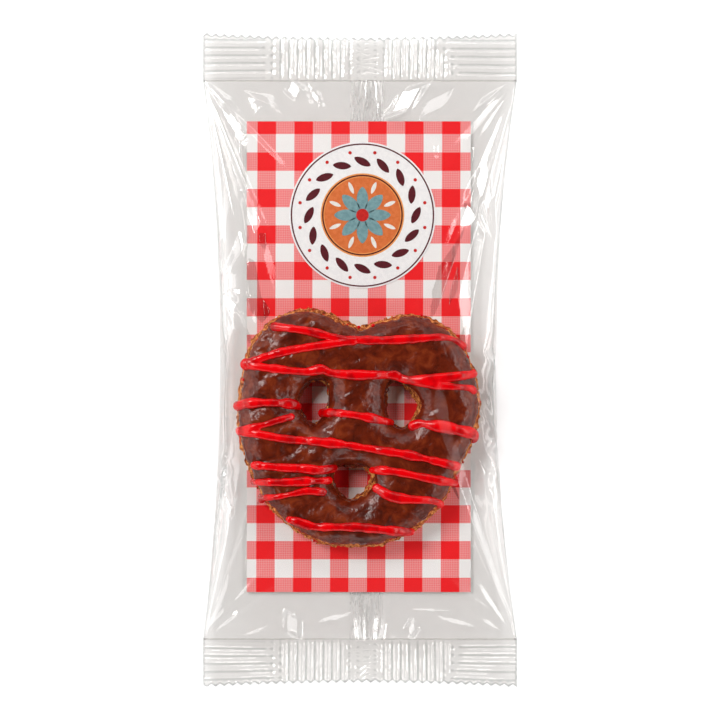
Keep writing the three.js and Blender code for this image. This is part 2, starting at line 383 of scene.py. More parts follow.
@dataclass(frozen=True)
class SugarIcing:
    """Red sugar icing, drizzled and set: even strong red with a wet gloss."""

    name: str = "sugar_icing_drizzled"
    red: str = "#E60009"
    deep: str = "#AE0006"

    def build(self) -> bpy.types.Material:
        """Return the material: two close reds, smooth gloss and a faint ripple."""
        material, tree, output = new_material(self.name)
        where = add_node(tree, "ShaderNodeTexCoord")
        patches = add_node(tree, "ShaderNodeTexNoise", {"Scale": per_metre(4), "Detail": 3.0},
                           {"Vector": where.outputs["Object"]})
        shades = add_node(tree, "ShaderNodeValToRGB",
                          {"stops": [(0.35, srgb(self.deep)), (0.55, srgb(self.red))]},
                          {"Fac": patches.outputs["Fac"]})
        bump = add_node(tree, "ShaderNodeBump", {"Strength": 0.25, "Distance": 0.2 * MM},
                        {"Height": patches.outputs["Fac"]})
        shader = add_node(tree, "ShaderNodeBsdfPrincipled",
                          {"Roughness": 0.2, "IOR": 1.45, "Specular IOR Level": 0.4},
                          {"Base Color": shades.outputs["Color"], "Normal": bump.outputs["Normal"]})
        tree.links.new(shader.outputs[0], output.inputs["Surface"])
        return material


@dataclass(frozen=True)
class PrintedBoard:
    """Satin white board printed with gingham, whose single stripes are hatched like woven threads."""

    name: str = "card_board_printed_gingham"
    paper: str = "#F6F5F4"
    ink: str = "#F6000E"
    thread_mm: float = 0.8      # coarser than a real print's screen, so that the hatching shows

    def build(self) -> bpy.types.Material:
        """Return the material: stripes from the print's own coordinates, two inks crossing."""
        material, tree, output = new_material(self.name)
        where = add_node(tree, "ShaderNodeTexCoord")
        apart = add_node(tree, "ShaderNodeSeparateXYZ", {}, {"Vector": where.outputs["UV"]})
        stripes = []
        for axis in ("X", "Y"):
            phase = add_node(tree, "ShaderNodeMath", {"operation": "FRACT"}, {0: apart.outputs[axis]})
            stripes.append(add_node(tree, "ShaderNodeMapRange", {"From Min": 0.494, "From Max": 0.506,
                                                                 "To Min": 1.0, "To Max": 0.0},
                                    {"Value": phase.outputs[0]}))
        amount = add_node(tree, "ShaderNodeMath", {"operation": "ADD"},
                          {0: stripes[0].outputs["Result"], 1: stripes[1].outputs["Result"]})
        threads = [add_node(tree, "ShaderNodeTexWave",
                            {"Scale": per_metre(self.thread_mm) * math.pi / 10, "bands_direction": axis},
                            {"Vector": where.outputs["Object"]}) for axis in ("X", "Y")]
        weave = add_node(tree, "ShaderNodeMath", {"operation": "ADD"},
                         {0: threads[0].outputs["Fac"], 1: threads[1].outputs["Fac"]})
        hatch = add_node(tree, "ShaderNodeMapRange", {"From Max": 2.0, "To Min": 0.6, "To Max": 0.82},
                         {"Value": weave.outputs[0]})
        single = add_node(tree, "ShaderNodeMath", {"operation": "COMPARE", 1: 1.0, 2: 0.5},
                          {0: amount.outputs[0]})
        both = add_node(tree, "ShaderNodeMath", {"operation": "GREATER_THAN", 1: 1.5},
                        {0: amount.outputs[0]})
        half = add_node(tree, "ShaderNodeMath", {"operation": "MULTIPLY"},
                        {0: single.outputs[0], 1: hatch.outputs["Result"]})
        cover = add_node(tree, "ShaderNodeMath", {"operation": "ADD"},
                         {0: half.outputs[0], 1: both.outputs[0]})
        colour = add_node(tree, "ShaderNodeMix",
                          {"data_type": "RGBA", 6: srgb(self.paper), 7: srgb(self.ink)},
                          {0: cover.outputs[0]})
        fibre = add_node(tree, "ShaderNodeTexNoise", {"Scale": per_metre(0.9), "Detail": 3.0},
                         {"Vector": where.outputs["Object"]})
        bump = add_node(tree, "ShaderNodeBump", {"Strength": 0.08, "Distance": 0.05 * MM},
                        {"Height": fibre.outputs["Fac"]})
        shader = add_node(tree, "ShaderNodeBsdfPrincipled", {"Roughness": 0.55, "IOR": 1.5},
                          {"Base Color": colour.outputs[2], "Normal": bump.outputs["Normal"]})
        tree.links.new(shader.outputs[0], output.inputs["Surface"])
        return material


@dataclass(frozen=True)
class Paper:
    """Coated paper or print on it: flat colour with a faint mottle and a fibre bump."""

    name: str
    colour: str
    shade: str
    roughness: float = 0.5

    def build(self) -> bpy.types.Material:
        """Return the material."""
        material, tree, output = new_material(self.name)
        where = add_node(tree, "ShaderNodeTexCoord")
        mottle = add_node(tree, "ShaderNodeTexNoise", {"Scale": per_metre(1.2), "Detail": 4.0},
                          {"Vector": where.outputs["Object"]})
        shades = add_node(tree, "ShaderNodeValToRGB",
                          {"stops": [(0.4, srgb(self.shade)), (0.6, srgb(self.colour))]},
                          {"Fac": mottle.outputs["Fac"]})
        bump = add_node(tree, "ShaderNodeBump", {"Strength": 0.06, "Distance": 0.05 * MM},
                        {"Height": mottle.outputs["Fac"]})
        shader = add_node(tree, "ShaderNodeBsdfPrincipled", {"Roughness": self.roughness, "IOR": 1.5},
                          {"Base Color": shades.outputs["Color"], "Normal": bump.outputs["Normal"]})
        tree.links.new(shader.outputs[0], output.inputs["Surface"])
        return material


@dataclass(frozen=True)
class ClearFilm:
    """Clear polypropylene film: nearly invisible face on, mirror-like on every crease."""

    name: str = "polypropylene_film_clear"
    tint: str = "#F4F3F2"
    face_on_gloss: float = 0.065
    painted_shade_tint: str = "#BDBFBE"      # painted shade: film marked as folded, creased or steep is darkened towards this grey
    clinging_gloss: float = 0.1     # what is left of the gloss where the film clings to fatty chocolate
    crinkle_mm: float = 9.0
    crinkle_depth: float = 0.12     # in millimetres
    gathered: float = 1.0           # how much closer the crinkles lie across the bag than along it
    painted_glint_white: float = 0.0              # painted highlight: how white the film is painted in streaks along its crinkles, standing in for glints

    def build(self) -> bpy.types.Material:
        """Return the material: clear film that reflects more where it is steep, with painted shade where it
        is marked as folded and painted highlight streaks.
        """
        material, tree, output = new_material(self.name)
        where = add_node(tree, "ShaderNodeTexCoord")
        slant = add_node(tree, "ShaderNodeLayerWeight", {"Blend": 0.5})
        steep = add_node(tree, "ShaderNodeMath", {"operation": "POWER", 1: 3.0},
                         {0: slant.outputs["Facing"]})
        mirror = add_node(tree, "ShaderNodeMapRange", {"To Min": self.face_on_gloss, "To Max": 0.85},
                          {"Value": steep.outputs[0]})
        cling = add_node(tree, "ShaderNodeAttribute", {"attribute_name": "cling"})
        free = add_node(tree, "ShaderNodeMapRange", {"To Min": 1.0, "To Max": self.clinging_gloss},
                        {"Value": cling.outputs["Fac"]})
        share = add_node(tree, "ShaderNodeMath", {"operation": "MULTIPLY"},
                         {0: mirror.outputs["Result"], 1: free.outputs["Result"]})
        drawn = add_node(tree, "ShaderNodeMapping", {"Scale": (self.gathered, 1.0, 1.0)},
                         {"Vector": where.outputs["Object"]})
        crinkle = add_node(tree, "ShaderNodeTexNoise",
                           {"Scale": per_metre(self.crinkle_mm), "Detail": 3.0, "Distortion": 0.8},
                           {"Vector": drawn.outputs["Vector"]})
        bump = add_node(tree, "ShaderNodeBump", {"Strength": 1.0, "Distance": self.crinkle_depth * MM},
                        {"Height": crinkle.outputs["Fac"]})
        # painted shade: the fold mark darkens the clear tint in creases, troughs, at the side folds and on
        # steep film
        fold = add_node(tree, "ShaderNodeAttribute", {"attribute_name": "fold"})
        tint = add_node(tree, "ShaderNodeMix",
                        {"data_type": "RGBA", 6: srgb(self.tint), 7: srgb(self.painted_shade_tint)},
                        {0: fold.outputs["Fac"]})
        clear = add_node(tree, "ShaderNodeBsdfTransparent", {}, {"Color": tint.outputs[2]})
        gloss = add_node(tree, "ShaderNodeBsdfGlossy", {"Roughness": 0.1, "Color": srgb("#FFFFFF")},
                         {"Normal": bump.outputs["Normal"]})
        shader = add_node(tree, "ShaderNodeMixShader", {},
                          {0: share.outputs[0], 1: clear.outputs[0], 2: gloss.outputs[0]})
        # painted highlight: white diffuse streaks stand in for glints on the gathered film
        if self.painted_glint_white:
            streaks = add_node(tree, "ShaderNodeMapRange",
                               {"From Min": 0.5, "From Max": 0.6, "To Max": self.painted_glint_white},
                               {"Value": crinkle.outputs["Fac"]})
            painted_glint = add_node(tree, "ShaderNodeBsdfDiffuse", {"Color": srgb("#FAFAFA")})
            shader = add_node(tree, "ShaderNodeMixShader", {},
                              {0: streaks.outputs["Result"], 1: shader.outputs[0], 2: painted_glint.outputs[0]})
        tree.links.new(shader.outputs[0], output.inputs["Surface"])
        return material


# ---- cookie ----------------------------------------------------------------------------------


@dataclass
class Cookie:
    """The pretzel cookie: a crumbly biscuit, its chocolate coat and the lines of icing on it."""

    rim_points: tuple = (
        (-38.5, 24.9), (-30, 36.6), (-17.5, 41), (-6, 37.6), (1.2, 34.6), (9, 37.2), (21, 39), (33, 32.8),
        (41, 18.2), (41.7, 2), (36, -13), (27.3, -29.1), (13, -39.2), (-1, -41.3), (-15, -39.2),
        (-29, -29.4), (-38.3, -12.5), (-41.5, 4),
    )
    gap_points: tuple = (
        ((-10.2, 14.6), (-14.5, 16.6), (-19.2, 13.2), (-20.2, 6.8), (-15.8, 0.9), (-10.8, 5)),
        ((10, 13.8), (13.6, 16.5), (18.6, 12.2), (21.2, 6.6), (16, -0.4), (10.4, 3.4)),
        ((-7.6, -13.9), (0, -13.2), (4.4, -15.6), (4, -20.4), (-2.6, -25.4), (-8.6, -20)),
    )
    gap_insets: tuple = (-0.9, -0.7, -0.8)      # how far the coat stops short of each gap
    gap_bare: tuple = (0.2, 2.0, 1.9)           # more of the same on the gap's right
    icing_lines: tuple = (
        # points of each line from left to right, with the half width of the string
        (((-29, 34.9), (-18.5, 33.6), (-11.5, 32), (-4.5, 30.6), (7.7, 30.1), (21.7, 30.8), (28.7, 31.2),
          (33, 30.4), (37, 27.6)), 1.2),
        (((-38.6, 21.7), (-34.3, 23.6), (-25.5, 26.2), (-13.3, 28.3), (-1, 29.8)), 1.2),
        (((-37, 21.5), (-29, 20.4), (-18.5, 19.4), (-12.3, 20.2), (-8.8, 18.9), (0.7, 18.2),
          (13, 18.4)), 1.25),
        (((13, 18.4), (18.2, 16.5), (28.7, 17.2), (34, 17.7), (40.8, 18.6)), 1.25),
        (((18.9, 16.4), (23.5, 15.5), (30.5, 14.4), (38.3, 13.7), (40.4, 12.6)), 1.2),
        (((-41.8, 7.3), (-37.8, 8.4), (-32.5, 8.7), (-27.3, 8.6), (-22, 8), (-20.3, 7)), 1.3),
        (((-41.6, -1), (-37.8, -0.2), (-32.5, 1), (-27.3, 2.6), (-22.4, 3.9)), 1.0),
        (((-41, -1.4), (-36, -1.8), (-25.5, -3.7), (-15, -4.6), (-6.3, -5.5), (0.7, -6.6), (14.7, -8.8),
          (21.7, -10.2), (28.7, -11.9), (34.6, -13.5)), 1.3),
        (((-12.6, 4.8), (-8, 5.1), (-2.8, 4.7), (4.2, 3.5), (8.8, 2.4), (11.9, 1.4)), 1.3),
        (((18.9, 0.4), (21.7, 1.4), (25.2, 1), (30.5, 0.2), (35.7, -1), (39.9, -2.2), (40.3, -4.2)), 1.45),
        (((-36, -12.9), (-32.5, -13.1), (-25.5, -13.7), (-18.5, -14), (-13.3, -14.5), (-8, -14)), 1.2),
        (((-36.5, -18.9), (-30.8, -18.7), (-23.8, -18.7), (-16.8, -18.3), (-9.5, -18.2)), 1.15),
        (((-33.6, -25.6), (-31.8, -24.3), (-27.3, -23.7), (-22, -22.6), (-16.8, -21.7),
          (-11.5, -22.2)), 1.05),
        (((4.9, -14.7), (9.5, -14.7), (14.7, -15.4), (20, -16.5), (25.2, -17.5), (30.5, -18.6),
          (34.3, -19.4)), 1.15),
        (((6.3, -20.6), (10.5, -23.1), (14.7, -24.2), (20, -24.7), (25.2, -25), (28.7, -26.3),
          (28.2, -27.3)), 1.3),
        (((-23.8, -31.5), (-20.3, -32.4), (-15, -34), (-8, -34.1), (-1, -34.1), (6, -34.7), (13, -35.5),
          (18.9, -36.1)), 1.3),
    )
    icing_pool: tuple = ((-38.4, 21.9, 9.6), (-36.8, 22.1, 10.2))    # where two lines turn at the rim
    pool_radii: tuple = (2.1, 2.0)
    side_height: float = 4.2
    side_bulge: float = 0.3         # how far the side swells out where it is fullest
    side_fullest: float = 3.5       # the height of that place
    crag_depth: float = 0.8
    dome_rise: float = 6.6
    dome_reach: float = 9.5
    coat_thickness: float = 1.25
    coat_inset: float = 0.75
    coat_sink: float = 1.2          # how far the coat reaches down into the biscuit
    string_step: float = 0.25       # spacing of the points along a line of icing
    string_span: int = 9            # how many of them a line's height is evened out over
    string_fall: float = 1.6        # how steeply a line falls where it runs over the edge
    drop_count: int = 26            # small drops of icing at the rim
    film_room: float = 1.3          # how far the film's resting height lies above the coat's
    step: float = 0.4
    icing_step: float = 0.3
    icing_flatness: float = 1.35
    crumb_count: int = 300
    seed: int = 21

    def __post_init__(self) -> None:
        """Place the cookie where its solid lies and work out its outline."""
        low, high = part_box("biscuit")
        self.rim = smooth_ring(self.rim_points, 10)
        self.gaps = [smooth_ring(points, 8) for points in self.gap_points]
        half_x = (self.rim[:, 0].max() + self.rim[:, 0].min()) / 2
        half_y = (self.rim[:, 1].max() + self.rim[:, 1].min()) / 2
        self.place = np.array([(low.x + high.x) / 2 / MM - half_x, (low.y + high.y) / 2 / MM - half_y,
                               low.z / MM])
        self.noise = LatticeNoise(self.seed)

    def edges(self, x: np.ndarray, y: np.ndarray) -> tuple[np.ndarray, list[np.ndarray]]:
        """Measure how far points lie from the dough's edges.

        Args:
            x: first coordinates from the cookie's centre.
            y: second coordinates.

        Returns:
            The distance inside the rim and the distance outside each gap.
        """
        outside_gaps = [-signed_distance(ring, x, y) for ring in self.gaps]
        return signed_distance(self.rim, x, y), outside_gaps

    def depth(self, x: np.ndarray, y: np.ndarray) -> np.ndarray:
        """Return how far points lie inside the dough, negative outside it and in its gaps."""
        rim_depth, outside_gaps = self.edges(x, y)
        return np.minimum.reduce([rim_depth, *outside_gaps])

    def dome(self, depth: np.ndarray) -> np.ndarray:
        """Return the height of the biscuit's top at a depth in from its edge."""
        across = 1 - np.clip(depth / self.dome_reach, 0, 1)
        return self.side_height + self.dome_rise * np.sqrt(1 - across ** 2)

    def lumps(self, x: np.ndarray, y: np.ndarray) -> np.ndarray:
        """Return the broad unevenness that biscuit and coat share."""
        return self.noise.layers(x, y, 3.0, {14.0: 0.45, 6.5: 0.35})

    def coat_top(self, x: np.ndarray, y: np.ndarray, depth: np.ndarray) -> np.ndarray:
        """Return the height of the chocolate's surface, which is more broken on the left."""
        left = np.clip(0.85 - x / 55, 0.5, 1.4)
        along, across = 0.6 * x + 0.16 * y, y - 0.3 * x
        ripples = self.noise.layers(along, across, 9.0, {4.4: 0.5, 2.2: 0.26})
        creases = np.abs(self.noise.at(along, across, 21.0, 5.0))
        ripples += 0.7 * np.minimum(creases, 0.4) + self.noise.layers(x, y, 6.0, {1.3: 0.12})
        return self.dome(depth) + self.lumps(x, y) + self.coat_thickness - 0.15 + ripples * left

    def biscuit(self) -> bpy.types.Object:
        """Build the biscuit, knobbly at its rim, and return it."""
        grid = VolumeGrid((-45, -44.5, -1), (45, 44.5, 13.5), self.step)
        x, y = grid.plan()
        depth = self.depth(x, y)
        top = (self.dome(depth) + self.lumps(x, y))[:, :, None]
        bulge = self.side_bulge - 0.03 * (grid.z - self.side_fullest) ** 2
        crags = self.noise.layers(grid.x, grid.y, grid.z, {3.3: 0.5, 1.7: 0.75, 0.95: 0.45})
        side = depth[:, :, None] + bulge
        body = smooth_min(smooth_min(top - grid.z, side, 1.0), grid.z, 0.6) + crags * self.crag_depth
        points, quads = grid.mesh(np.minimum(body, grid.z - 0.02))
        piece = make_object("cookie_biscuit", points + self.place, quads, BakedDough().build())
        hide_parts("biscuit")
        return piece

    def chocolate(self) -> bpy.types.Object:
        """Build the chocolate coat with its uneven edge, and return it."""
        grid = VolumeGrid((-44, -43, 2.5), (44, 43, 14.6), self.step * 0.9)
        x, y = grid.plan()
        rim_depth, outside_gaps = self.edges(x, y)
        depth = np.minimum.reduce([rim_depth, *outside_gaps])
        wander = self.noise.layers(x, y, 17.0, {6.0: 0.6, 2.6: 0.75, 1.3: 0.45})
        edges = [rim_depth - self.coat_inset]
        for outside, ring, inset, bare in zip(outside_gaps, self.gaps, self.gap_insets, self.gap_bare):
            aside, up = x - ring[:, 0].mean(), y - ring[:, 1].mean()
            edges.append(outside - inset - bare * np.clip(aside / np.hypot(aside, up), 0, 1))
        edge = np.minimum.reduce(edges) + wander
        top = self.coat_top(x, y, depth)[:, :, None]
        under = (self.dome(depth) + self.lumps(x, y) - self.coat_sink)[:, :, None]
        body = smooth_min(top - grid.z, edge[:, :, None], 1.1)
        points, quads = grid.mesh(np.minimum(body, grid.z - under))
        piece = make_object("cookie_chocolate", points + self.place, quads, MilkChocolate().build())
        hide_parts("chocolate_coat")
        return piece

    def string_points(self, corners: Sequence, radius: float) -> tuple[np.ndarray, np.ndarray]:
        """Lay one line of icing over the chocolate.

        Args:
            corners: points of the line seen from above.
            radius: half width of the string.

        Returns:
            Closely spaced points along the string and its radius at each.
        """
        open_line = np.asarray(corners, float)
        ends = np.vstack([2 * open_line[0] - open_line[1], open_line, 2 * open_line[-1] - open_line[-2]])
        pieces = []
        for a, b, c, d in zip(ends, ends[1:], ends[2:], ends[3:]):
            count = max(int(np.hypot(*(c - b)) / self.string_step), 2)
            pieces.append(catmull_rom(a, b, c, d, np.linspace(0, 1, count, endpoint=False)[:, None]))
        flat = np.vstack(pieces + [open_line[-1:]])
        x, y = flat.T
        depth = self.depth(x, y)
        height = self.coat_top(x, y, depth) - self.string_fall * np.clip(0.8 - depth, 0, 3)
        kernel = np.hanning(self.string_span + 2)[1:-1]
        padded = np.pad(height, self.string_span // 2, mode="edge")
        height = np.convolve(padded, kernel / kernel.sum(), mode="valid")
        wobble = 1.2 + 0.34 * self.noise.at(x, y, 5.0, 4.6) + 0.16 * self.noise.at(x, y, 8.0, 1.9)
        along = np.arange(len(flat)) * self.string_step
        taper = np.clip(np.minimum(along, along[::-1]) / 1.6 + 0.72, 0, 1)
        return np.column_stack([x, y, height + 0.1]), radius * wobble * taper

    def icing(self) -> bpy.types.Object:
        """Build all the lines of icing as one set of strings that run together, and return it."""
        grid = VolumeGrid((-46, -41, 2), (46, 41, 15.6), self.icing_step)
        empty = -3.0
        total = np.full((grid.x.size, grid.y.size, grid.z.size), empty, np.float32)
        drops = np.random.default_rng(self.seed)
        strings = [self.string_points(corners, radius) for corners, radius in self.icing_lines]
        strings.append((np.array(self.icing_pool), np.array(self.pool_radii)))
        for angle in drops.uniform(0, 2 * math.pi, self.drop_count):
            spot = self.rim[int(angle / (2 * math.pi) * len(self.rim))] * drops.uniform(0.97, 1.01)
            height = drops.uniform(4.5, 8)
            strings.append((np.array([[*spot, height]]), np.array([drops.uniform(0.35, 0.75)])))
        for points, radii in strings:
            line = np.full_like(total, empty) if len(points) > 2 else total
            for point, radius in zip(points, radii):
                self.stamp(grid, line, point, radius)
            if line is not total:
                total = -smooth_min(-total, -line, 0.7)
        points, quads = grid.mesh(total)
        piece = make_object("cookie_icing", points + self.place, quads, SugarIcing().build())
        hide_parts("chocolate_coat")
        return piece

    def stamp(self, grid: VolumeGrid, target: np.ndarray, point: np.ndarray, radius: float) -> None:
        """Add one slightly flattened ball to a field.

        Args:
            grid: the grid of the field.
            target: the field, changed in place.
            point: the ball's centre.
            radius: its half width.
        """
        reach = radius + 4 * grid.step
        window = tuple(slice(max(int((point[k] - reach - grid.low[k]) / grid.step), 0),
                             int((point[k] + reach - grid.low[k]) / grid.step) + 2) for k in range(3))
        x, y, z = grid.x[window[0]], grid.y[:, window[1]], grid.z[:, :, window[2]]
        rise = self.icing_flatness * (z - point[2])
        gap = np.sqrt((x - point[0]) ** 2 + (y - point[1]) ** 2 + rise ** 2)
        target[window] = np.maximum(target[window], radius - gap)

    def crumbs(self) -> bpy.types.Object:
        """Build the crumbs that cling to the biscuit's edges, and return them."""
        rng = np.random.default_rng(self.seed + 1)
        ball = bmesh.new()
        bmesh.ops.create_icosphere(ball, subdivisions=2, radius=1)
        shape = np.array([corner.co for corner in ball.verts])
        sides = np.array([[corner.index for corner in face.verts] for face in ball.faces])
        ball.free()
        edges = [(self.rim, 1)] * 5 + [(ring, -1) for ring in self.gaps]
        points, faces = [], []
        for number in range(self.crumb_count):
            ring, inward = edges[number % len(edges)]
            spot = ring[rng.integers(len(ring))] + rng.normal(0, 0.3, 2)
            depth = rng.uniform(-0.1, 1.3)
            out = spot - ring.mean(0)
            spot = spot - inward * depth * out / np.hypot(*out)
            height = self.dome(np.array(depth)) * rng.uniform(0.55, 1.0)
            size = 0.32 + rng.exponential(0.16)
            turn = np.linalg.qr(rng.normal(0, 1, (3, 3)))[0]
            grain = shape * rng.normal(1, 0.16, (len(shape), 1)) * rng.uniform(0.7, 1.2, 3) * size
            faces.append(sides + len(shape) * number)
            points.append(grain @ turn + [*spot, height])
        finish = BakedDough("biscuit_dough_crumbs", "#F0AC6C", "#C06C34", "#6E3012")
        piece = make_object("cookie_crumbs", np.concatenate(points) + self.place, np.concatenate(faces),
                            finish.build(), smooth=False)
        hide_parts("biscuit")
        return piece

    def skyline(self, x: np.ndarray, y: np.ndarray) -> np.ndarray:
        """Return the height of the whole cookie at places in the pack, or zero beside it."""
        x, y = x - self.place[0], y - self.place[1]
        rim_depth = signed_distance(self.rim, x, y)
        top = self.dome(np.maximum(rim_depth, 0.2)) + self.coat_thickness + self.film_room
        return np.where(rim_depth > -0.6, top + self.place[2], 0)


# ---- card and label --------------------------------------------------------------------------


@dataclass
class GinghamCard:
    """The backing card, printed with gingham on its face and plain behind."""

    column_period: float = 12.9          # one inked and one bare column
    column_start: float = -36.3          # left edge of an inked column
    column_lean: float = 0.003           # the print sits slightly turned on the card
    row_stations: tuple = (              # places along the card, and the inked rows up to each
        (-92.2, -2), (-66.4, 0), (-41.4, 2), (-18.1, 4), (5.7, 6), (69.3, 11), (95.1, 13),
    )

    def build(self) -> bpy.types.Object:
        """Build the card over its solid and return it."""
        low, high = (np.array(corner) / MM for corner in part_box("card"))
        rows = [low[1]] + [y for y, _ in self.row_stations if low[1] < y < high[1]] + [high[1]]
        loop = [(low[0], low[2]), (high[0], low[2]), (high[0], high[2]), (low[0], high[2])]
        points = [(x, y, z) for y in rows for x, z in loop]
        faces = [(0, 1, 2, 3)]
        for row in range(len(rows) - 1):
            for side in range(4):
                a, b = 4 * row + side, 4 * row + (side + 1) % 4
                faces.append((a, a + 4, b + 4, b))
        last = 4 * (len(rows) - 1)
        faces.append((last + 3, last + 2, last + 1, last))
        piece = make_object("card_gingham", points, faces, PrintedBoard().build(), smooth=False)
        piece.data.materials.append(Paper("card_board_plain", "#EDEBE6", "#E2DFD8", 0.65).build())
        stations, counts = zip(*self.row_stations)
        layer = piece.data.uv_layers.new(name="print")
        for polygon in piece.data.polygons:
            polygon.material_index = 0 if polygon.normal.z > 0.5 else 1
            for loop_index in polygon.loop_indices:
                corner = piece.data.vertices[piece.data.loops[loop_index].vertex_index].co / MM
                start = self.column_start + self.column_lean * (corner.y - low[1])
                across = (corner.x - start) / self.column_period
                layer.data[loop_index].uv = (across, float(np.interp(corner.y, stations, counts)) + 0.25)
        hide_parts("card")
        return piece


class Ink(Enum):
    """The colours printed on the label, each with its slightly darker mottle."""

    MAROON = ("#5E0D1C", "#520A17")
    ORANGE = ("#E27A40", "#D96F36")
    GOLD = ("#F4A55C", "#EE9A50")
    TEAL = ("#7FA6AB", "#6F979D")
    RED = ("#D0221C", "#C01A16")
    CREAM = ("#F4F2EC", "#EAE7DF")


@dataclass
class RoundLabel:
    """The round paper label: a ring of leaves about a flower, printed in six inks."""

    ink_step: float = 0.02          # each ink lies this much above the one below
    ink_sink: float = 0.01          # and reaches this far into it
    bevel: float = 0.12             # width of the paper's bevelled edge
    bevel_height: float = 0.06
    leaves: int = 16
    wreath_place: float = 18.7      # distance of the leaves' middles from the label's centre
    berry_place: float = 22.2
    berry_radius: float = 0.6
    petals: int = 8
    petal_place: float = 5.6
    sepal_place: float = 10.3
    disc_radius: float = 13.3       # the orange disc behind the flower
    disc_rim: float = 14.6          # the paler ring round that disc
    eye_radius: float = 2.2         # the flower's red middle

    def __post_init__(self) -> None:
        """Find the label's solid."""
        low, high = (np.array(corner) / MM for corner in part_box("label"))
        self.centre = (low + high) / 2
        self.radius = (high[0] - low[0]) / 2
        self.low, self.top = low[2], high[2]

    def slab(self, rings: Iterable[np.ndarray], level: int) -> tuple[np.ndarray, list]:
        """Make thin flat shapes from closed outlines.

        Args:
            rings: outlines round the label's centre, anticlockwise.
            level: how many inks lie below.

        Returns:
            Corners and faces of all the shapes.
        """
        points, faces = [], []
        base = self.top + level * self.ink_step - self.ink_sink
        for ring in rings:
            start, count = len(points), len(ring)
            for height in (base, base + self.ink_sink + self.ink_step):
                points += [(self.centre[0] + x, self.centre[1] + y, height) for x, y in ring]
            faces.append([start + i for i in range(count)][::-1])
            faces.append([start + count + i for i in range(count)])
            for i in range(count):
                j = (i + 1) % count
                faces.append([start + i, start + j, start + count + j, start + count + i])
        return np.array(points), faces

    def band(self, inner: float, outer: float, level: int, count: int = 128) -> tuple[np.ndarray, list]:
        """Make one flat ring between two radii, as corners and faces."""
        low = self.top + level * self.ink_step - self.ink_sink
        high = low + self.ink_sink + self.ink_step
        section = ((inner, low), (outer, low), (outer, high), (inner, high))
        points, faces = [], []
        for i in range(count):
            angle = 2 * math.pi * i / count
            for radius, height in section:
                points.append((self.centre[0] + radius * math.cos(angle),
                               self.centre[1] + radius * math.sin(angle), height))
            for k in range(4):
                j = 4 * ((i + 1) % count)
                faces.append([4 * i + k, 4 * i + (k + 1) % 4, j + (k + 1) % 4, j + k][::-1])
        return np.array(points), faces

    @staticmethod
    def circle(radius: float, count: int = 128) -> np.ndarray:
        """Return a round outline, anticlockwise."""
        angle = np.linspace(0, 2 * math.pi, count, endpoint=False)
        return np.column_stack([radius * np.cos(angle), radius * np.sin(angle)])

    @staticmethod
    def directions(count: int, start: float = 0.0) -> np.ndarray:
        """Return evenly spread directions in radians, the first one start steps round."""
        return (np.arange(count) + start) * 2 * math.pi / count

    @staticmethod
    def leaf(length: float, width: float, place: float, bearing: float, twist: float = 0.0) -> np.ndarray:
        """Return a pointed leaf.

        Args:
            length: from tip to tip.
            width: at its middle.
            place: distance of its middle from the label's centre.
            bearing: direction of its middle from the centre, in radians.
            twist: turn away from pointing outwards, in radians.

        Returns:
            Its outline, anticlockwise.
        """
        t = np.linspace(0, 2 * math.pi, 24, endpoint=False)
        along = length / 2 * np.cos(t)
        across = width / 2 * np.sin(t) * np.abs(np.sin(t)) ** 0.4
        turn = bearing + twist
        x = place * math.cos(bearing) + along * math.cos(turn) - across * math.sin(turn)
        y = place * math.sin(bearing) + along * math.sin(turn) + across * math.cos(turn)
        return np.column_stack([x, y])

    def printed(self, ink: Ink, shapes: tuple[np.ndarray, list]) -> bpy.types.Object:
        """Make one printed colour from its corners and faces."""
        finish = Paper(f"print_ink_{ink.name.lower()}", *ink.value, 0.42)
        piece = make_object(f"label_print_{ink.name.lower()}", *shapes, finish.build(), smooth=False)
        return piece

    @staticmethod
    def joined(*shapes: tuple[np.ndarray, list]) -> tuple[np.ndarray, list]:
        """Put several sets of corners and faces into one."""
        points, faces = [], []
        for corners, sides in shapes:
            faces += [[len(points) + i for i in side] for side in sides]
            points += list(corners)
        return np.array(points), faces

    def build(self) -> list[bpy.types.Object]:
        """Build the label and its print, and return the pieces."""
        disc = self.circle(self.radius)
        rim = self.circle(self.radius - self.bevel)
        levels = ((disc, self.low), (disc, self.top - self.bevel_height), (rim, self.top))
        points = np.vstack([np.column_stack([ring + self.centre[:2], np.full(len(ring), z)])
                            for ring, z in levels])
        count = len(disc)
        faces = [list(range(count))[::-1], [2 * count + i for i in range(count)]]
        for level in range(2):
            for i in range(count):
                j = (i + 1) % count
                low, high = level * count, (level + 1) * count
                faces.append([low + i, low + j, high + j, high + i])
        paper = make_object("label_disc", points, faces,
                            Paper("label_paper_coated", "#FAFAFA", "#F4F4F5", 0.45).build(), smooth=False)
        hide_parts("label")

        wreath = [self.leaf(6.4, 2.6, self.wreath_place, a, 1.1) for a in self.directions(self.leaves)]
        berry = self.circle(self.berry_radius, 20)
        berries = [berry + self.berry_place * np.array([math.cos(a), math.sin(a)])
                   for a in self.directions(self.leaves, 0.5)]
        flower = [self.leaf(8.6, 4.0, self.petal_place, a) for a in self.directions(self.petals)]
        sepals = [self.leaf(4.4, 1.4, self.sepal_place, a) for a in self.directions(self.petals, 0.5)]
        eye = self.circle(self.eye_radius, 32)
        maroon = self.joined(self.band(self.radius - 1.05, self.radius - 0.55, 0),
                             self.slab(wreath, 0), self.band(13.6, 14.1, 1))
        return [
            paper,
            self.printed(Ink.MAROON, maroon),
            self.printed(Ink.RED, self.joined(self.slab(berries, 0), self.slab([eye], 4))),
            self.printed(Ink.GOLD, self.slab([self.circle(self.disc_rim)], 0)),
            self.printed(Ink.ORANGE, self.slab([self.circle(self.disc_radius)], 1)),
            self.printed(Ink.CREAM, self.slab(sepals, 2)),
            self.printed(Ink.TEAL, self.slab(flower, 3)),
        ]


# ---- bag -------------------------------------------------------------------------------------


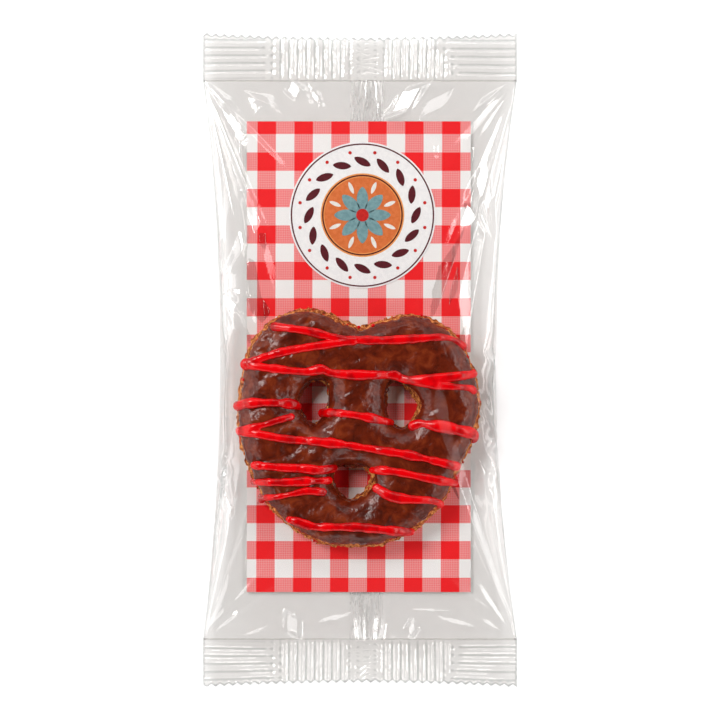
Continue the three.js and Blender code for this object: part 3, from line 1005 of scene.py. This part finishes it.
@dataclass
class Skyline:
    """Heights of what lies in the bag, softened to slopes that film can lie on."""

    height: Callable[[np.ndarray, np.ndarray], np.ndarray]
    step: float = 0.5
    steepest: float = 1.2
    reach: tuple[float, float] = (60.0, 120.0)

    def __post_init__(self) -> None:
        """Sample the heights, spread them down in even slopes and keep their gradients."""
        xs = np.arange(-self.reach[0], self.reach[0], self.step)
        ys = np.arange(-self.reach[1], self.reach[1], self.step)
        heights = self.height(*np.meshgrid(xs, ys, indexing="ij")).astype(np.float32)
        for _ in range(int(heights.max() / (self.steepest * self.step)) + 1):
            for axis in (0, 1):
                for turn in (-1, 1):
                    fall = self.steepest * self.step
                    heights = np.maximum(heights, np.roll(heights, turn, axis) - fall)
        slopes = np.gradient(heights, self.step)
        self.samples = np.stack([heights, *slopes], -1).astype(np.float32)

    def at(self, x: np.ndarray, y: np.ndarray) -> tuple[np.ndarray, np.ndarray, np.ndarray]:
        """Return the height and its slopes along x and y at the nearest samples."""
        i = np.clip(((x + self.reach[0]) / self.step + 0.5).astype(int), 0, len(self.samples) - 1)
        j = np.clip(((y + self.reach[1]) / self.step + 0.5).astype(int), 0, self.samples.shape[1] - 1)
        return tuple(np.moveaxis(self.samples[i, j], -1, 0))


@dataclass(frozen=True)
class CreaseFan:
    """Straight creases that fan out from one point of the film, with flat facets between them."""

    x: float
    y: float
    bearing: float      # middle of the fan, in degrees from +X
    spread: float
    folds: int
    length: float
    steepness: tuple[float, float] = (0.25, 0.5)
    clear: float = 6.0      # the creases come up over this distance from their point

    def shift(self, x: np.ndarray, y: np.ndarray, rng: np.random.Generator) -> np.ndarray:
        """Return how far the creases move the film at its points.

        Args:
            x: the points' first coordinates.
            y: the points' second coordinates.
            rng: source of the creases' differences.

        Returns:
            The shift along the film's normal, in millimetres.
        """
        steps = rng.uniform(0.5, 1.5, self.folds + 1)
        knots = np.concatenate([[0], np.cumsum(steps)]) / steps.sum() * self.spread - self.spread / 2
        signs = np.resize([1, -1], self.folds) * rng.choice([-1, 1])
        half_fold = np.radians(self.spread / self.folds) / 2
        heights = signs * rng.uniform(*self.steepness, self.folds) * half_fold
        reach = np.hypot(x - self.x, y - self.y)
        angle = (np.degrees(np.arctan2(y - self.y, x - self.x)) - self.bearing + 180) % 360 - 180
        angle = angle + 0.6 * np.sin(reach / 25 + rng.uniform(0, 6))
        strength = np.clip(reach / self.clear, 0, 1) * np.exp(-(reach / self.length) ** 2)
        return np.interp(angle, knots, [0, *heights, 0]) * reach * strength


@dataclass(frozen=True)
class Pucker:
    """A sharp little ridge in the film, with flat sides and a diamond outline."""

    x: float
    y: float
    half_length: float
    half_width: float
    bearing: float      # direction of the ridge, in degrees from +X
    slope: float = 0.45

    def shift(self, x: np.ndarray, y: np.ndarray, rng: np.random.Generator) -> np.ndarray:
        """Return how far the ridge moves the film at its points.

        Args:
            x: the points' first coordinates.
            y: the points' second coordinates.
            rng: source of the slope's unevenness.

        Returns:
            The shift along the film's normal, in millimetres.
        """
        turn = math.radians(self.bearing)
        along = (x - self.x) * math.cos(turn) + (y - self.y) * math.sin(turn)
        across = (y - self.y) * math.cos(turn) - (x - self.x) * math.sin(turn)
        room = self.half_width * (1 - np.abs(along) / self.half_length) - np.abs(across)
        return self.slope * rng.uniform(0.9, 1.1) * np.maximum(room, 0)


@dataclass(frozen=True)
class Facet:
    """A flat patch of the film that leans its own way inside a diamond outline."""

    x: float
    y: float
    half_length: float
    half_width: float
    bearing: float                  # direction of the diamond's length, in degrees from +X
    lean: tuple[float, float]       # what it adds to the slope of the film's normal
    rim_slope: float = 1.5          # how steeply it meets the film round it

    def shift(self, x: np.ndarray, y: np.ndarray, rng: np.random.Generator) -> np.ndarray:
        """Return how far the patch moves the film at its points.

        Args:
            x: the points' first coordinates.
            y: the points' second coordinates.
            rng: source of the lean's unevenness.

        Returns:
            The shift along the film's normal, in millimetres.
        """
        turn = math.radians(self.bearing)
        aside, up = x - self.x, y - self.y
        along = aside * math.cos(turn) + up * math.sin(turn)
        across = up * math.cos(turn) - aside * math.sin(turn)
        room = self.half_width * (1 - np.abs(along) / self.half_length) - np.abs(across)
        limit = self.rim_slope * np.maximum(room, 0)
        plane = -(self.lean[0] * aside + self.lean[1] * up) * rng.uniform(0.95, 1.05)
        return np.clip(plane, -limit, limit)


@dataclass
class CrimpedSeal:
    """An end of the bag, heat-sealed and crimped: flutes, ribs towards its corners, a rucked middle."""

    end: int                        # 1 for the top end and -1 for the bottom end
    width: float
    root: float                     # where it starts, from the bag's middle
    middle: float                   # its height
    depth: float                    # of its crimps
    seed: int
    length: float = 16.6
    pitch: float = 3.0              # of the flutes and of the teeth at the cut edge
    rib_pitch: float = 2.8
    ruck_pitch: float = 1.9
    flutes_to: float = 26.0         # the flutes give way to ribs from here
    ruck_at: float = 2.0            # where the fin seal's layers run into it
    ruck_reach: float = 9.0
    tooth_depth: float = 0.55
    overlap: float = 0.6            # how far it reaches over the end of the tube
    bow: float = 1.6                # how far the middle of its edge is drawn in
    droop: float = 0.5
    thickness: float = 0.12
    columns: int = 437
    rows: int = 50

    @staticmethod
    def zigzag(turns: np.ndarray, sharpness: float = 0.8) -> np.ndarray:
        """Return a wave of height one for each whole turn, from round to a sharp triangle."""
        return np.arcsin(sharpness * np.sin(2 * math.pi * turns)) / math.asin(sharpness)

    def sheet(self, points: np.ndarray) -> tuple[np.ndarray, np.ndarray]:
        """Give a grid of points the seal's thickness.

        Args:
            points: the sheet's middle, columns by rows by three, the columns to the right and
                the rows away.

        Returns:
            Corners and faces of the closed sheet.
        """
        half = self.thickness / 2
        faces = [(points + [0, 0, offset]).reshape(-1, 3) for offset in (-half, half)]
        count = self.columns * self.rows
        index = np.arange(count).reshape(self.columns, self.rows)
        top = grid_quads(self.columns, self.rows)
        edge = np.concatenate([index[:, 0], index[-1, 1:], index[-2::-1, -1], index[0, -2::-1]])
        side = np.stack([edge[:-1], edge[1:], edge[1:] + count, edge[:-1] + count], -1)
        return np.concatenate(faces), np.concatenate([top[:, ::-1], top + count, side])

    def build(self, material: bpy.types.Material) -> bpy.types.Object:
        """Build the seal.

        Args:
            material: the film.

        Returns:
            The seal, closed all round.
        """
        u = np.linspace(-1, 1, self.columns)[:, None]
        v = np.linspace(0, 1, self.rows)[None, ::self.end]
        x = u * self.width / 2
        out = v * self.length
        noise = LatticeNoise(self.seed)
        drift = noise.at(x, out, 4.0, 24.0)
        outer = np.clip((np.abs(x - 5 * drift) - self.flutes_to) / 8, 0, 1)
        centre = np.clip(1 - np.abs(x - self.ruck_at) / self.ruck_reach, 0, 1)
        flute = self.zigzag((x + 0.25 * drift) / self.pitch)
        rib = self.zigzag((out + 0.9 * drift + 0.03 * np.abs(x)) / self.rib_pitch)
        ruck = self.zigzag(out / self.ruck_pitch + 0.9 * noise.at(x, out, 7.0, 2.6))
        wave = flute * (1 - outer) * (1 - centre) + rib * outer + 0.6 * ruck * centre
        strength = 1.0 + 0.5 * noise.at(x, out, 11.0, 7.0)
        fine_ribs = noise.at(x, 3 * v * self.length, 2.0, 1.6) * outer
        fine = fine_ribs + noise.at(2 * x, out, 2.0, 1.8) * (1 - outer)
        crinkle = noise.layers(x, out, 2.0, {6.0: 0.14, 2.6: 0.07}) * (0.6 + outer + 2 * centre)
        risen = np.clip(v * 6, 0, 1)
        crimp = (strength * wave * self.depth + crinkle + 0.05 * fine) * risen
        tooth = self.tooth_depth * self.zigzag(x / self.pitch, 1.0) * np.clip((v - 0.9) * 10, 0, 1)
        y = self.end * (self.root - self.overlap + out + tooth - self.bow * (1 - u ** 2) * v)
        z = self.middle - self.droop * v + crimp
        grid = np.stack(np.broadcast_arrays(x, y, z), -1)
        name = "film_seal_top" if self.end > 0 else "film_seal_bottom"
        piece = make_object(name, *self.sheet(grid), material)
        # painted shade: the crimps' troughs and the seal's sides and outer edge are darkened through the
        # fold mark
        trough_shade = np.clip(-1.6 * wave - 0.5, 0, 1) * risen
        rim = np.maximum(np.clip(1 - (1 - np.abs(u)) * 70, 0, 1), np.clip((v - 0.955) * 30, 0, 1))
        fold = np.maximum(0.3 * trough_shade, 0.55 * rim)
        mark_points(piece, "fold", np.tile(fold.ravel(), 2))
        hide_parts("bag")
        return piece


@dataclass
class FinSeal:
    """The fin seal down the bag's back, gathered a little and folded flat under the card."""

    reach: float                    # how far it runs from the bag's middle, both ways
    room: Callable[[np.ndarray], np.ndarray]    # the bag's lowest height at stations along it
    seed: int
    left: float = -3.4
    width: float = 11.6
    clear: float = 0.03             # what it keeps free of the floor and of the bag
    columns: int = 90
    rows: int = 400

    def build(self, material: bpy.types.Material) -> bpy.types.Object:
        """Build the fin as one sheet of film and return it."""
        noise = LatticeNoise(self.seed)
        v = np.linspace(-1, 1, self.rows)[None, :]
        u = np.linspace(0, 1, self.columns)[:, None]
        y = v * self.reach
        left = self.left + 0.4 * noise.at(0.0, y, 1.0, 30.0)
        x = left + u * (self.width + 0.5 * noise.at(5.0, y, 1.0, 22.0))
        gathers = noise.at(3.4 * x, y / 6, 3.0, 4.0) + 0.5 * noise.at(4 * x, y / 3, 7.0, 2.0)
        room = self.room(y)
        height = room * 0.5 + np.minimum(0.08 + 0.08 * room, 0.26) * gathers
        z = np.clip(height, self.clear, room - self.clear)
        grid = np.stack(np.broadcast_arrays(x, y, z), -1)
        piece = make_object("film_fin", grid.reshape(-1, 3), grid_quads(self.columns, self.rows), material)
        # painted shade: the film is darkened along its gathers
        mark_points(piece, "fold", 0.35 * np.clip(gathers - 0.3, 0, 1))
        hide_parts("bag")
        return piece


@dataclass
class FlowWrapBag:
    """The sealed film bag: a tube of film settled over its contents, and its crimped seals."""

    contents: Skyline
    around: int = 172               # points of the film round the tube
    along: int = 138                # and along it
    seal_width: float = 109.2
    root: float = 97.5              # where the end seals start, from the bag's middle
    root_gap: float = 0.15          # how far the film's two sheets stay from the seal's height there
    seal_middle: float = 4.0
    left_waist: float = 48.5
    right_waist: float = 47.2
    waist_curve: float = 2.1
    crown_height: float = 16.2
    crown_top: float = 12.0
    crown_bottom: float = -56.0
    slack_curve: float = 1.9
    floor: float = 0.3
    flat_to: float = 84.0           # the underside lies flat up to here and then rises to the seals
    under_card: float = 0.6
    slack: float = 1.02
    ring_slack: float = 1.015
    pressure: float = 0.03
    steps: int = 240
    calm_rounds: int = 40           # rounds of smoothing beyond the card's ends
    side_rounds: int = 6            # rounds of it along the sides
    calm_from: float = 74.0
    calm_within: float = 46.0
    side_from: float = 40.0
    top_crimp: float = 0.28         # depth of the end seals' crimps
    bottom_crimp: float = 0.36
    fold_shade: float = 0.8          # painted shade at the folded sides, from 0 to 1
    steep_shade: float = 0.2         # painted shade on steep film
    creases: tuple = (
        # the long creases from the four corners
        CreaseFan(-54.6, 97.5, -77, 24, 4, 90, (0.3, 0.5)),
        CreaseFan(-54.6, 97.5, -50, 30, 3, 34, (0.25, 0.45)),
        CreaseFan(54.6, 97.5, -103, 24, 4, 90, (0.35, 0.6)),
        CreaseFan(54.6, 97.5, -130, 30, 3, 34, (0.3, 0.5)),
        CreaseFan(-54.6, -97.5, 77, 24, 4, 90, (0.3, 0.5)),
        CreaseFan(-54.6, -97.5, 50, 30, 3, 34, (0.3, 0.5)),
        CreaseFan(54.6, -97.5, 103, 24, 4, 90, (0.35, 0.6)),
        CreaseFan(54.6, -97.5, 130, 30, 3, 34, (0.3, 0.5)),
        # short creases where the sides are drawn in beside the cookie
        CreaseFan(-49.0, 26.0, 70, 70, 4, 20, (0.3, 0.55)),
        CreaseFan(-49.0, 26.0, -50, 70, 3, 20, (0.3, 0.55)),
        CreaseFan(47.5, 38.0, 105, 80, 4, 20, (0.3, 0.6)),
        CreaseFan(-49.5, -38.0, -80, 50, 4, 18, (0.3, 0.6)),
        CreaseFan(48.0, -30.0, -95, 50, 4, 18, (0.3, 0.6)),
        CreaseFan(48.0, -30.0, 95, 60, 5, 16, (0.3, 0.6)),
        CreaseFan(47.4, 4.0, -90, 40, 3, 14, (0.3, 0.5)),
        Pucker(-33.0, 88.0, 12, 5.0, -40, 0.16),
        Pucker(44.9, -35.5, 8, 3.2, 120, 0.6),
        # ridges across the corners
        Pucker(-46.4, 89.8, 13, 2.2, -46),
        Pucker(43.6, 89.1, 13, 2.2, 43),
        Pucker(-45.7, -88.0, 12, 2.2, 48),
        Pucker(44.6, -89.1, 12, 2.2, -41),
        # flat patches beside the end seals, each leaning so that it mirrors a lamp
        Facet(-22.9, 94.0, 3.6, 3.6, 90, (-0.32, -0.1)),
        Facet(-15.6, 91.3, 7.2, 2.2, -58, (-0.21, -0.03)),
        Facet(-36.0, 91.5, 6.0, 2.0, -35, (0.0, 0.13)),
        Facet(16.0, 90.4, 11.5, 3.6, 36, (-0.4, -0.08), 2.0),
        Facet(26.5, 89.0, 9.0, 3.2, 48, (0.0, 0.12), 2.0),
        Facet(-23.5, -91.7, 6.0, 3.6, -60, (-0.42, 0.3), 2.0),
        Facet(18.0, -93.2, 3.4, 2.8, 95, (-0.45, 0.3), 2.0),
        Facet(-8.5, -89.0, 6.5, 2.2, 25, (0.0, -0.17)),
        Facet(33.0, -90.5, 8.0, 1.9, -25, (0.0, -0.17)),
        Facet(25.0, -86.5, 8.0, 1.5, -10, (0.02, -0.2)),
        Pucker(-36.2, -93.3, 7, 0.9, 23),
        # pleats where the fin seal runs into the end seals
        CreaseFan(2.8, 125.0, -90, 26, 7, 29, (0.9, 1.2)),
        CreaseFan(2.8, -125.0, 90, 26, 7, 33, (0.8, 1.1)),
    )
    seed: int = 5

    def half_width(self, y: np.ndarray, right: np.ndarray) -> np.ndarray:
        """Return the bag's reach to one side at stations along it."""
        waist = np.where(right, self.right_waist, self.left_waist)
        reach = np.clip(np.abs(y) / self.root, 0, 1)
        return waist + (self.seal_width / 2 - waist) * reach ** self.waist_curve

    def crown(self, y: np.ndarray) -> np.ndarray:
        """Return the height the film may reach at stations along the bag."""
        above = (y - self.crown_top) / (self.root - self.crown_top)
        below = (self.crown_bottom - y) / (self.crown_bottom + self.root)
        slack = np.clip(np.maximum(above, below), 0, 1) ** self.slack_curve
        return self.crown_height + (self.seal_middle + self.root_gap - self.crown_height) * slack

    def lowest(self, y: np.ndarray) -> np.ndarray:
        """Return the height of the film's underside at stations along the bag."""
        rise = np.clip((np.abs(y) - self.flat_to) / (self.root - self.flat_to), 0, 1) ** 1.5
        return self.floor + (self.seal_middle - self.root_gap - self.floor) * rise

    def start(self) -> np.ndarray:
        """Return the film's first shape, a tube pressed to the bag's form."""
        turn = (np.arange(self.around) / self.around)[:, None]
        y = np.linspace(-self.root, self.root, self.along)[None, :]
        top = turn < 0.5
        across = np.where(top, 4 * turn - 1, 3 - 4 * turn)
        x = across * self.half_width(y, across > 0)
        profile = (1 - np.abs(across) ** 4) ** 0.25
        middle = (self.crown(y) + self.lowest(y)) / 2
        half = (self.crown(y) - self.lowest(y)) / 2
        z = middle + np.where(top, 1, -1) * half * profile
        shake = np.random.default_rng(self.seed).normal(0, 0.15, (self.around, self.along, 3))
        return (np.stack(np.broadcast_arrays(x, y, z), -1) + shake).astype(np.float32)

    @staticmethod
    def normals(film: np.ndarray) -> np.ndarray:
        """Return the directions that point out of the film at its points."""
        normal = np.cross(np.roll(film, -1, 0) - np.roll(film, 1, 0), np.gradient(film, axis=1))
        return normal / (np.linalg.norm(normal, axis=-1, keepdims=True) + 1e-6)

    @staticmethod
    def pull(a: np.ndarray, b: np.ndarray, rest: float, strength: float) -> None:
        """Move pairs of points towards their resting distance, in place."""
        gap = b - a
        length = np.sqrt(np.einsum("...k,...k->...", gap, gap))[..., None] + 1e-6
        gap *= 0.5 * strength * (1 - rest / length)
        a += gap
        b -= gap

    def hold_lengths(self, film: np.ndarray, across: float, down: float) -> None:
        """Pull the film back to its own size and stiffness.

        Args:
            film: the film's points, changed in place.
            across: spacing of its points around the tube.
            down: spacing of its points along the tube.
        """
        for first in (0, 1):
            pairs = film[:, first:first + 2 * ((film.shape[1] - first) // 2)]
            self.pull(pairs[:, 0::2], pairs[:, 1::2], down, 1.0)
        diagonal = math.hypot(across, down)
        for turned in (0, 1):
            view = np.roll(film, -turned, 0)
            self.pull(view[0::2], view[1::2], across, 1.0)
            self.pull(view[0::2, :-1], view[1::2, 1:], diagonal, 0.3)
            self.pull(view[0::2, 1:], view[1::2, :-1], diagonal, 0.3)
            film[:] = np.roll(view, turned, 0)
        for turned in (0, 2):
            view = np.roll(film, -turned, 0)
            self.pull(view[0::4], view[2::4], 2 * across, 0.1)
            self.pull(view[1::4], view[3::4], 2 * across, 0.1)
            film[:] = np.roll(view, turned, 0)
        for first in (0, 1, 2, 3):
            a, b = film[:, first:-2:4], film[:, first + 2::4]
            self.pull(a[:, :b.shape[1]], b[:, :a.shape[1]], 2 * down, 0.1)

    def keep_inside(self, film: np.ndarray) -> None:
        """Keep the film inside the bag's form and outside its contents, in place."""
        x, y, z = film[..., 0], film[..., 1], film[..., 2]
        half_ring = self.around // 2
        for fold, right in ((0, False), (half_ring, True)):
            side = (1 if right else -1) * self.half_width(y[fold], right)
            x[fold] += 0.4 * (side - x[fold])
        wide = self.half_width(y, x > 0)
        low, high = self.lowest(y), self.crown(y)
        middle, half = (high + low) / 2, np.maximum((high - low) / 2, 0.3)
        np.clip(x, -wide, wide, out=x)
        np.clip(z, low, high, out=z)
        u, v = x / wide, (z - middle) / half
        reach = (u ** 4 + v ** 4) ** 0.25 + 1e-6
        slope_x, slope_z = u ** 3 / (wide * reach ** 3), v ** 3 / (half * reach ** 3)
        over = np.maximum(reach - 1, 0) / (slope_x ** 2 + slope_z ** 2 + 1e-9)
        x -= over * slope_x
        z -= over * slope_z
        level, rise_x, rise_y = self.contents.at(x[:half_ring], y[:half_ring])
        lift = np.maximum(level - z[:half_ring], 0) / (1 + rise_x ** 2 + rise_y ** 2)
        x[:half_ring] -= lift * rise_x
        y[:half_ring] -= lift * rise_y
        z[:half_ring] += lift
        level = self.contents.at(x[half_ring:], y[half_ring:])[0]
        below = z[half_ring:]
        np.copyto(below, np.minimum(below, self.under_card), where=level > 1)

    def settle(self) -> np.ndarray:
        """Let the film settle over its contents.

        Returns:
            The film's points, around by along by three.
        """
        film = self.start()
        across = 2 * self.seal_width * self.ring_slack / self.around
        down = 2 * self.root * self.slack / (self.along - 1)
        ends = film[:, (0, -1)].copy()
        flat = 4 * np.arange(self.around) / self.around
        flat = np.where(flat < 2, flat - 1, 3 - flat)
        ends[..., 0] = (flat * self.seal_width / 2)[:, None]
        ends[..., 1] = [-self.root, self.root]
        side = np.where(np.arange(self.around) < self.around // 2, 1, -1)
        ends[..., 2] = (self.seal_middle + 0.08 * side)[:, None]
        speed = np.zeros_like(film)
        steps = self.steps
        for _ in range(steps):
            normal = self.normals(film)
            before = film.copy()
            film += speed * 0.9 + normal * self.pressure
            for _ in range(3):
                self.hold_lengths(film, across, down)
                self.keep_inside(film)
                film[:, (0, -1)] = ends
            speed = film - before
        return film

    @staticmethod
    def finer(film: np.ndarray) -> np.ndarray:
        """Return the film with a smooth point added between each two, both ways."""
        wrapped = (-np.roll(film, 1, 0) + 9 * film + 9 * np.roll(film, -1, 0) - np.roll(film, -2, 0)) / 16
        film = np.stack([film, wrapped], 1).reshape(-1, *film.shape[1:])
        before, after = 2 * film[:, :1] - film[:, 1:2], 2 * film[:, -1:] - film[:, -2:-1]
        padded = np.concatenate([before, film, after], 1)
        between = (-padded[:, :-3] + 9 * padded[:, 1:-2] + 9 * padded[:, 2:-1] - padded[:, 3:]) / 16
        fine = np.empty((film.shape[0], 2 * film.shape[1] - 1, 3))
        fine[:, 0::2] = film
        fine[:, 1::2] = between
        return fine

    def crease(self, film: np.ndarray) -> None:
        """Crease the film with its fans, ridges and flat patches, in place.

        Args:
            film: the film's points, around by along by three.
        """
        rng = np.random.default_rng(self.seed)
        normal = self.normals(film)
        half_ring = len(film) // 2
        x, y = film[..., 0], film[..., 1]
        for crease in self.creases:
            for sheet in (slice(0, half_ring), slice(half_ring, None)):
                film[sheet] += normal[sheet] * crease.shift(x[sheet], y[sheet], rng)[..., None]

    def calm(self, film: np.ndarray) -> None:
        """Smooth the film beyond the card's ends and, less, along the bag's sides, in place."""
        for number in range(self.calm_rounds):
            beside = (np.roll(film, 1, 0) + np.roll(film, -1, 0)) / 2
            before = (film[:, :-2] + film[:, 2:]) / 2
            x, y = np.abs(film[:, 1:-1, 0]), np.abs(film[:, 1:-1, 1])
            share = np.clip((y - self.calm_from) / 6, 0, 1) * np.clip((self.calm_within - x) / 6, 0, 1)
            if number < self.side_rounds:
                share = np.maximum(share, np.clip((x - self.side_from) / 4, 0, 1))
            film[:, 1:-1] += 0.5 * share[..., None] * ((beside[:, 1:-1] + before) / 2 - film[:, 1:-1])

    def fit_sides(self, film: np.ndarray) -> None:
        """Stretch the film's outer parts to the bag's reach, in place."""
        x, y = film[..., 0], film[..., 1]
        for right, edge in ((False, x.min(0)), (True, x.max(0))):
            side = 1 if right else -1
            wanted = side * self.half_width(y.mean(0), right)
            share = np.clip((side * x / np.abs(edge) - 0.8) / 0.2, 0, 1) ** 2
            x += share * (wanted - edge)

    def tube(self, material: bpy.types.Material) -> bpy.types.Object:
        """Build the body of the bag and return it."""
        film = self.finer(self.settle())
        self.calm(film)
        self.crease(film)
        self.fit_sides(film)
        x, y, z = np.moveaxis(film, -1, 0)
        half_ring = len(film) // 2
        level = self.contents.at(x[:half_ring], y[:half_ring])[0]
        np.maximum(z[:half_ring], level, out=z[:half_ring])
        np.maximum(z, self.floor, out=z)
        rounds, stations = film.shape[:2]
        index = np.arange(rounds * stations).reshape(rounds, stations)
        after = np.roll(index, -1, 0)
        quads = np.stack([index[:, :-1], index[:, 1:], after[:, 1:], after[:, :-1]], -1).reshape(-1, 4)
        piece = make_object("film_body", film.reshape(-1, 3), quads, material)
        cling = np.zeros(x.shape, np.float32)
        cling[:half_ring] = np.clip((level - 6) / 5, 0, 1)
        mark_points(piece, "cling", cling)
        # painted shade: film near the bag's side folds and steep film is darkened through the fold mark
        apart = np.arange(rounds) % half_ring
        apart = np.minimum(apart, half_ring - apart)
        upright = 1 - np.abs(self.normals(film)[..., 2])
        steep = np.clip((upright - 0.06) / 0.4, 0, 1)
        fold = np.maximum(self.fold_shade - 0.4 * apart[:, None], self.steep_shade * steep)
        mark_points(piece, "fold", fold)
        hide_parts("bag")
        return piece

    def build(self) -> list[bpy.types.Object]:
        """Build the whole bag and return its pieces."""
        material = ClearFilm().build()
        crimped = ClearFilm("polypropylene_film_crimped", "#F5F4F3", 0.045).build()
        # the fin's film has white streaks painted in as highlights
        fin_film = ClearFilm("polypropylene_film_fin", "#FEFEFE", 0.02, crinkle_mm=8.0, crinkle_depth=0.8,
                             gathered=6.0, painted_glint_white=0.7).build()
        tube = self.tube(material)
        seals = [CrimpedSeal(end, self.seal_width, self.root, self.seal_middle, depth, self.seed + 2 + end)
                 for end, depth in ((1, self.top_crimp), (-1, self.bottom_crimp))]
        fin = FinSeal(self.root + 0.2, self.lowest, self.seed + 9)
        return [tube, *(seal.build(crimped) for seal in seals), fin.build(fin_film)]


# ---- studio ----------------------------------------------------------------------------------


@dataclass(frozen=True)
class Softbox:
    """An area lamp behind soft cloth that faces the pack, in metres and watts."""

    name: str
    place: tuple[float, float, float]
    size: tuple[float, float]
    power: float

    def hang(self) -> None:
        """Add the lamp to the scene."""
        data = bpy.data.lights.new(self.name, "AREA")
        data.shape = "RECTANGLE"
        data.size, data.size_y = self.size
        data.energy = self.power
        lamp = bpy.data.objects.new(self.name, data)
        lamp.location = self.place
        lamp.rotation_euler = (-Vector(self.place)).to_track_quat("-Z", "Y").to_euler()
        bpy.context.scene.collection.objects.link(lamp)


@dataclass
class Studio:
    """The pale floor, the soft lights and the camera straight above the pack, in metres."""

    camera_height: float = 0.78
    view_width: float = 0.252       # what the picture's width takes in, on the floor
    sensor_mm: float = 36.0
    floor_reach: float = 2.0
    floor_glow: float = 0.1         # light of the floor's own, as of a sheet softly lit from below
    sky_strength: float = 1.06
    lamps: tuple = (
        Softbox("softbox_key", (-0.72, 0.55, 0.9), (0.45, 0.45), 10.6),
        Softbox("strip_right", (0.85, 0.0, 0.7), (1.4, 0.22), 5.7),
        Softbox("strip_left", (-0.85, -0.2, 0.65), (1.1, 0.22), 2.5),
        Softbox("strip_far", (0.1, 0.85, 0.7), (1.2, 0.2), 2.6),
        Softbox("strip_near", (0.0, -1.0, 0.28), (1.3, 0.2), 2.4),
        Softbox("strip_low_right", (1.0, 0.0, 0.24), (1.4, 0.26), 3.4),
        Softbox("strip_low_left", (-1.0, 0.0, 0.24), (1.4, 0.26), 2.8),
    )

    def floor(self) -> bpy.types.Object:
        """Lay the pale floor and return it."""
        material, tree, output = new_material("studio_floor_paper")
        where = add_node(tree, "ShaderNodeTexCoord")
        grain = add_node(tree, "ShaderNodeTexNoise", {"Scale": per_metre(4)},
                         {"Vector": where.outputs["Object"]})
        shades = add_node(tree, "ShaderNodeValToRGB",
                          {"stops": [(0.3, srgb("#F6F6F6")), (0.7, srgb("#FAFAFA"))]},
                          {"Fac": grain.outputs["Fac"]})
        shader = add_node(tree, "ShaderNodeBsdfPrincipled",
                          {"Roughness": 0.9, "Emission Color": srgb("#FFFFFF"),
                           "Emission Strength": self.floor_glow},
                          {"Base Color": shades.outputs["Color"]})
        tree.links.new(shader.outputs[0], output.inputs["Surface"])
        reach = self.floor_reach
        corners = [(-reach, -reach, 0), (reach, -reach, 0), (reach, reach, 0), (-reach, reach, 0)]
        mesh = bpy.data.meshes.new("studio_floor")
        mesh.from_pydata(corners, [], [(0, 1, 2, 3)])
        mesh.materials.append(material)
        floor = bpy.data.objects.new("studio_floor", mesh)
        bpy.context.scene.collection.objects.link(floor)
        return floor

    def sky(self) -> bpy.types.World:
        """Make the air round the pack, pale at the horizon and dark overhead, and return it."""
        world = bpy.data.worlds.new("studio_air")
        world.use_nodes = True
        tree = world.node_tree
        where = add_node(tree, "ShaderNodeTexCoord")
        height = add_node(tree, "ShaderNodeSeparateXYZ", {}, {"Vector": where.outputs["Generated"]})
        walls = add_node(tree, "ShaderNodeValToRGB",
                         {"stops": [(0.0, srgb("#FFFFFF")), (0.4, srgb("#E0E0E0")),
                                    (0.65, srgb("#505050")), (1.0, srgb("#181818"))]},
                         {"Fac": height.outputs["Z"]})
        backdrop = tree.nodes["Background"]
        backdrop.inputs["Strength"].default_value = self.sky_strength
        tree.links.new(walls.outputs["Color"], backdrop.inputs["Color"])
        return world

    def build(self) -> None:
        """Set up floor, lights, sky and camera."""
        self.floor()
        for lamp in self.lamps:
            lamp.hang()
        scene = bpy.context.scene
        scene.world = self.sky()
        scene.view_settings.view_transform = "Standard"
        data = bpy.data.cameras.new("camera")
        data.sensor_width = self.sensor_mm
        data.lens = self.sensor_mm * self.camera_height / self.view_width
        camera = bpy.data.objects.new("camera", data)
        camera.location = (0, 0, self.camera_height)
        scene.collection.objects.link(camera)
        scene.camera = camera


def contents_height(cookie: Cookie, x: np.ndarray, y: np.ndarray) -> np.ndarray:
    """Return the height of card and cookie at places in the pack.

    Args:
        cookie: the cookie.
        x: first coordinates in millimetres.
        y: second coordinates.

    Returns:
        The height of whatever lies highest, or zero.
    """
    low, high = (np.array(corner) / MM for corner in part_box("card"))
    on_card = (x > low[0]) & (x < high[0]) & (y > low[1]) & (y < high[1])
    return np.maximum(np.where(on_card, high[2] + 0.4, 0), cookie.skyline(x, y))


def main() -> None:
    """Build the pack piece by piece and light it."""
    logging.basicConfig(level=logging.INFO, format="%(message)s")
    Studio().build()
    cookie = Cookie()
    cookie.biscuit()
    cookie.chocolate()
    cookie.icing()
    cookie.crumbs()
    GinghamCard().build()
    RoundLabel().build()
    FlowWrapBag(Skyline(lambda x, y: contents_height(cookie, x, y))).build()


if __name__ == "__main__":
    main()
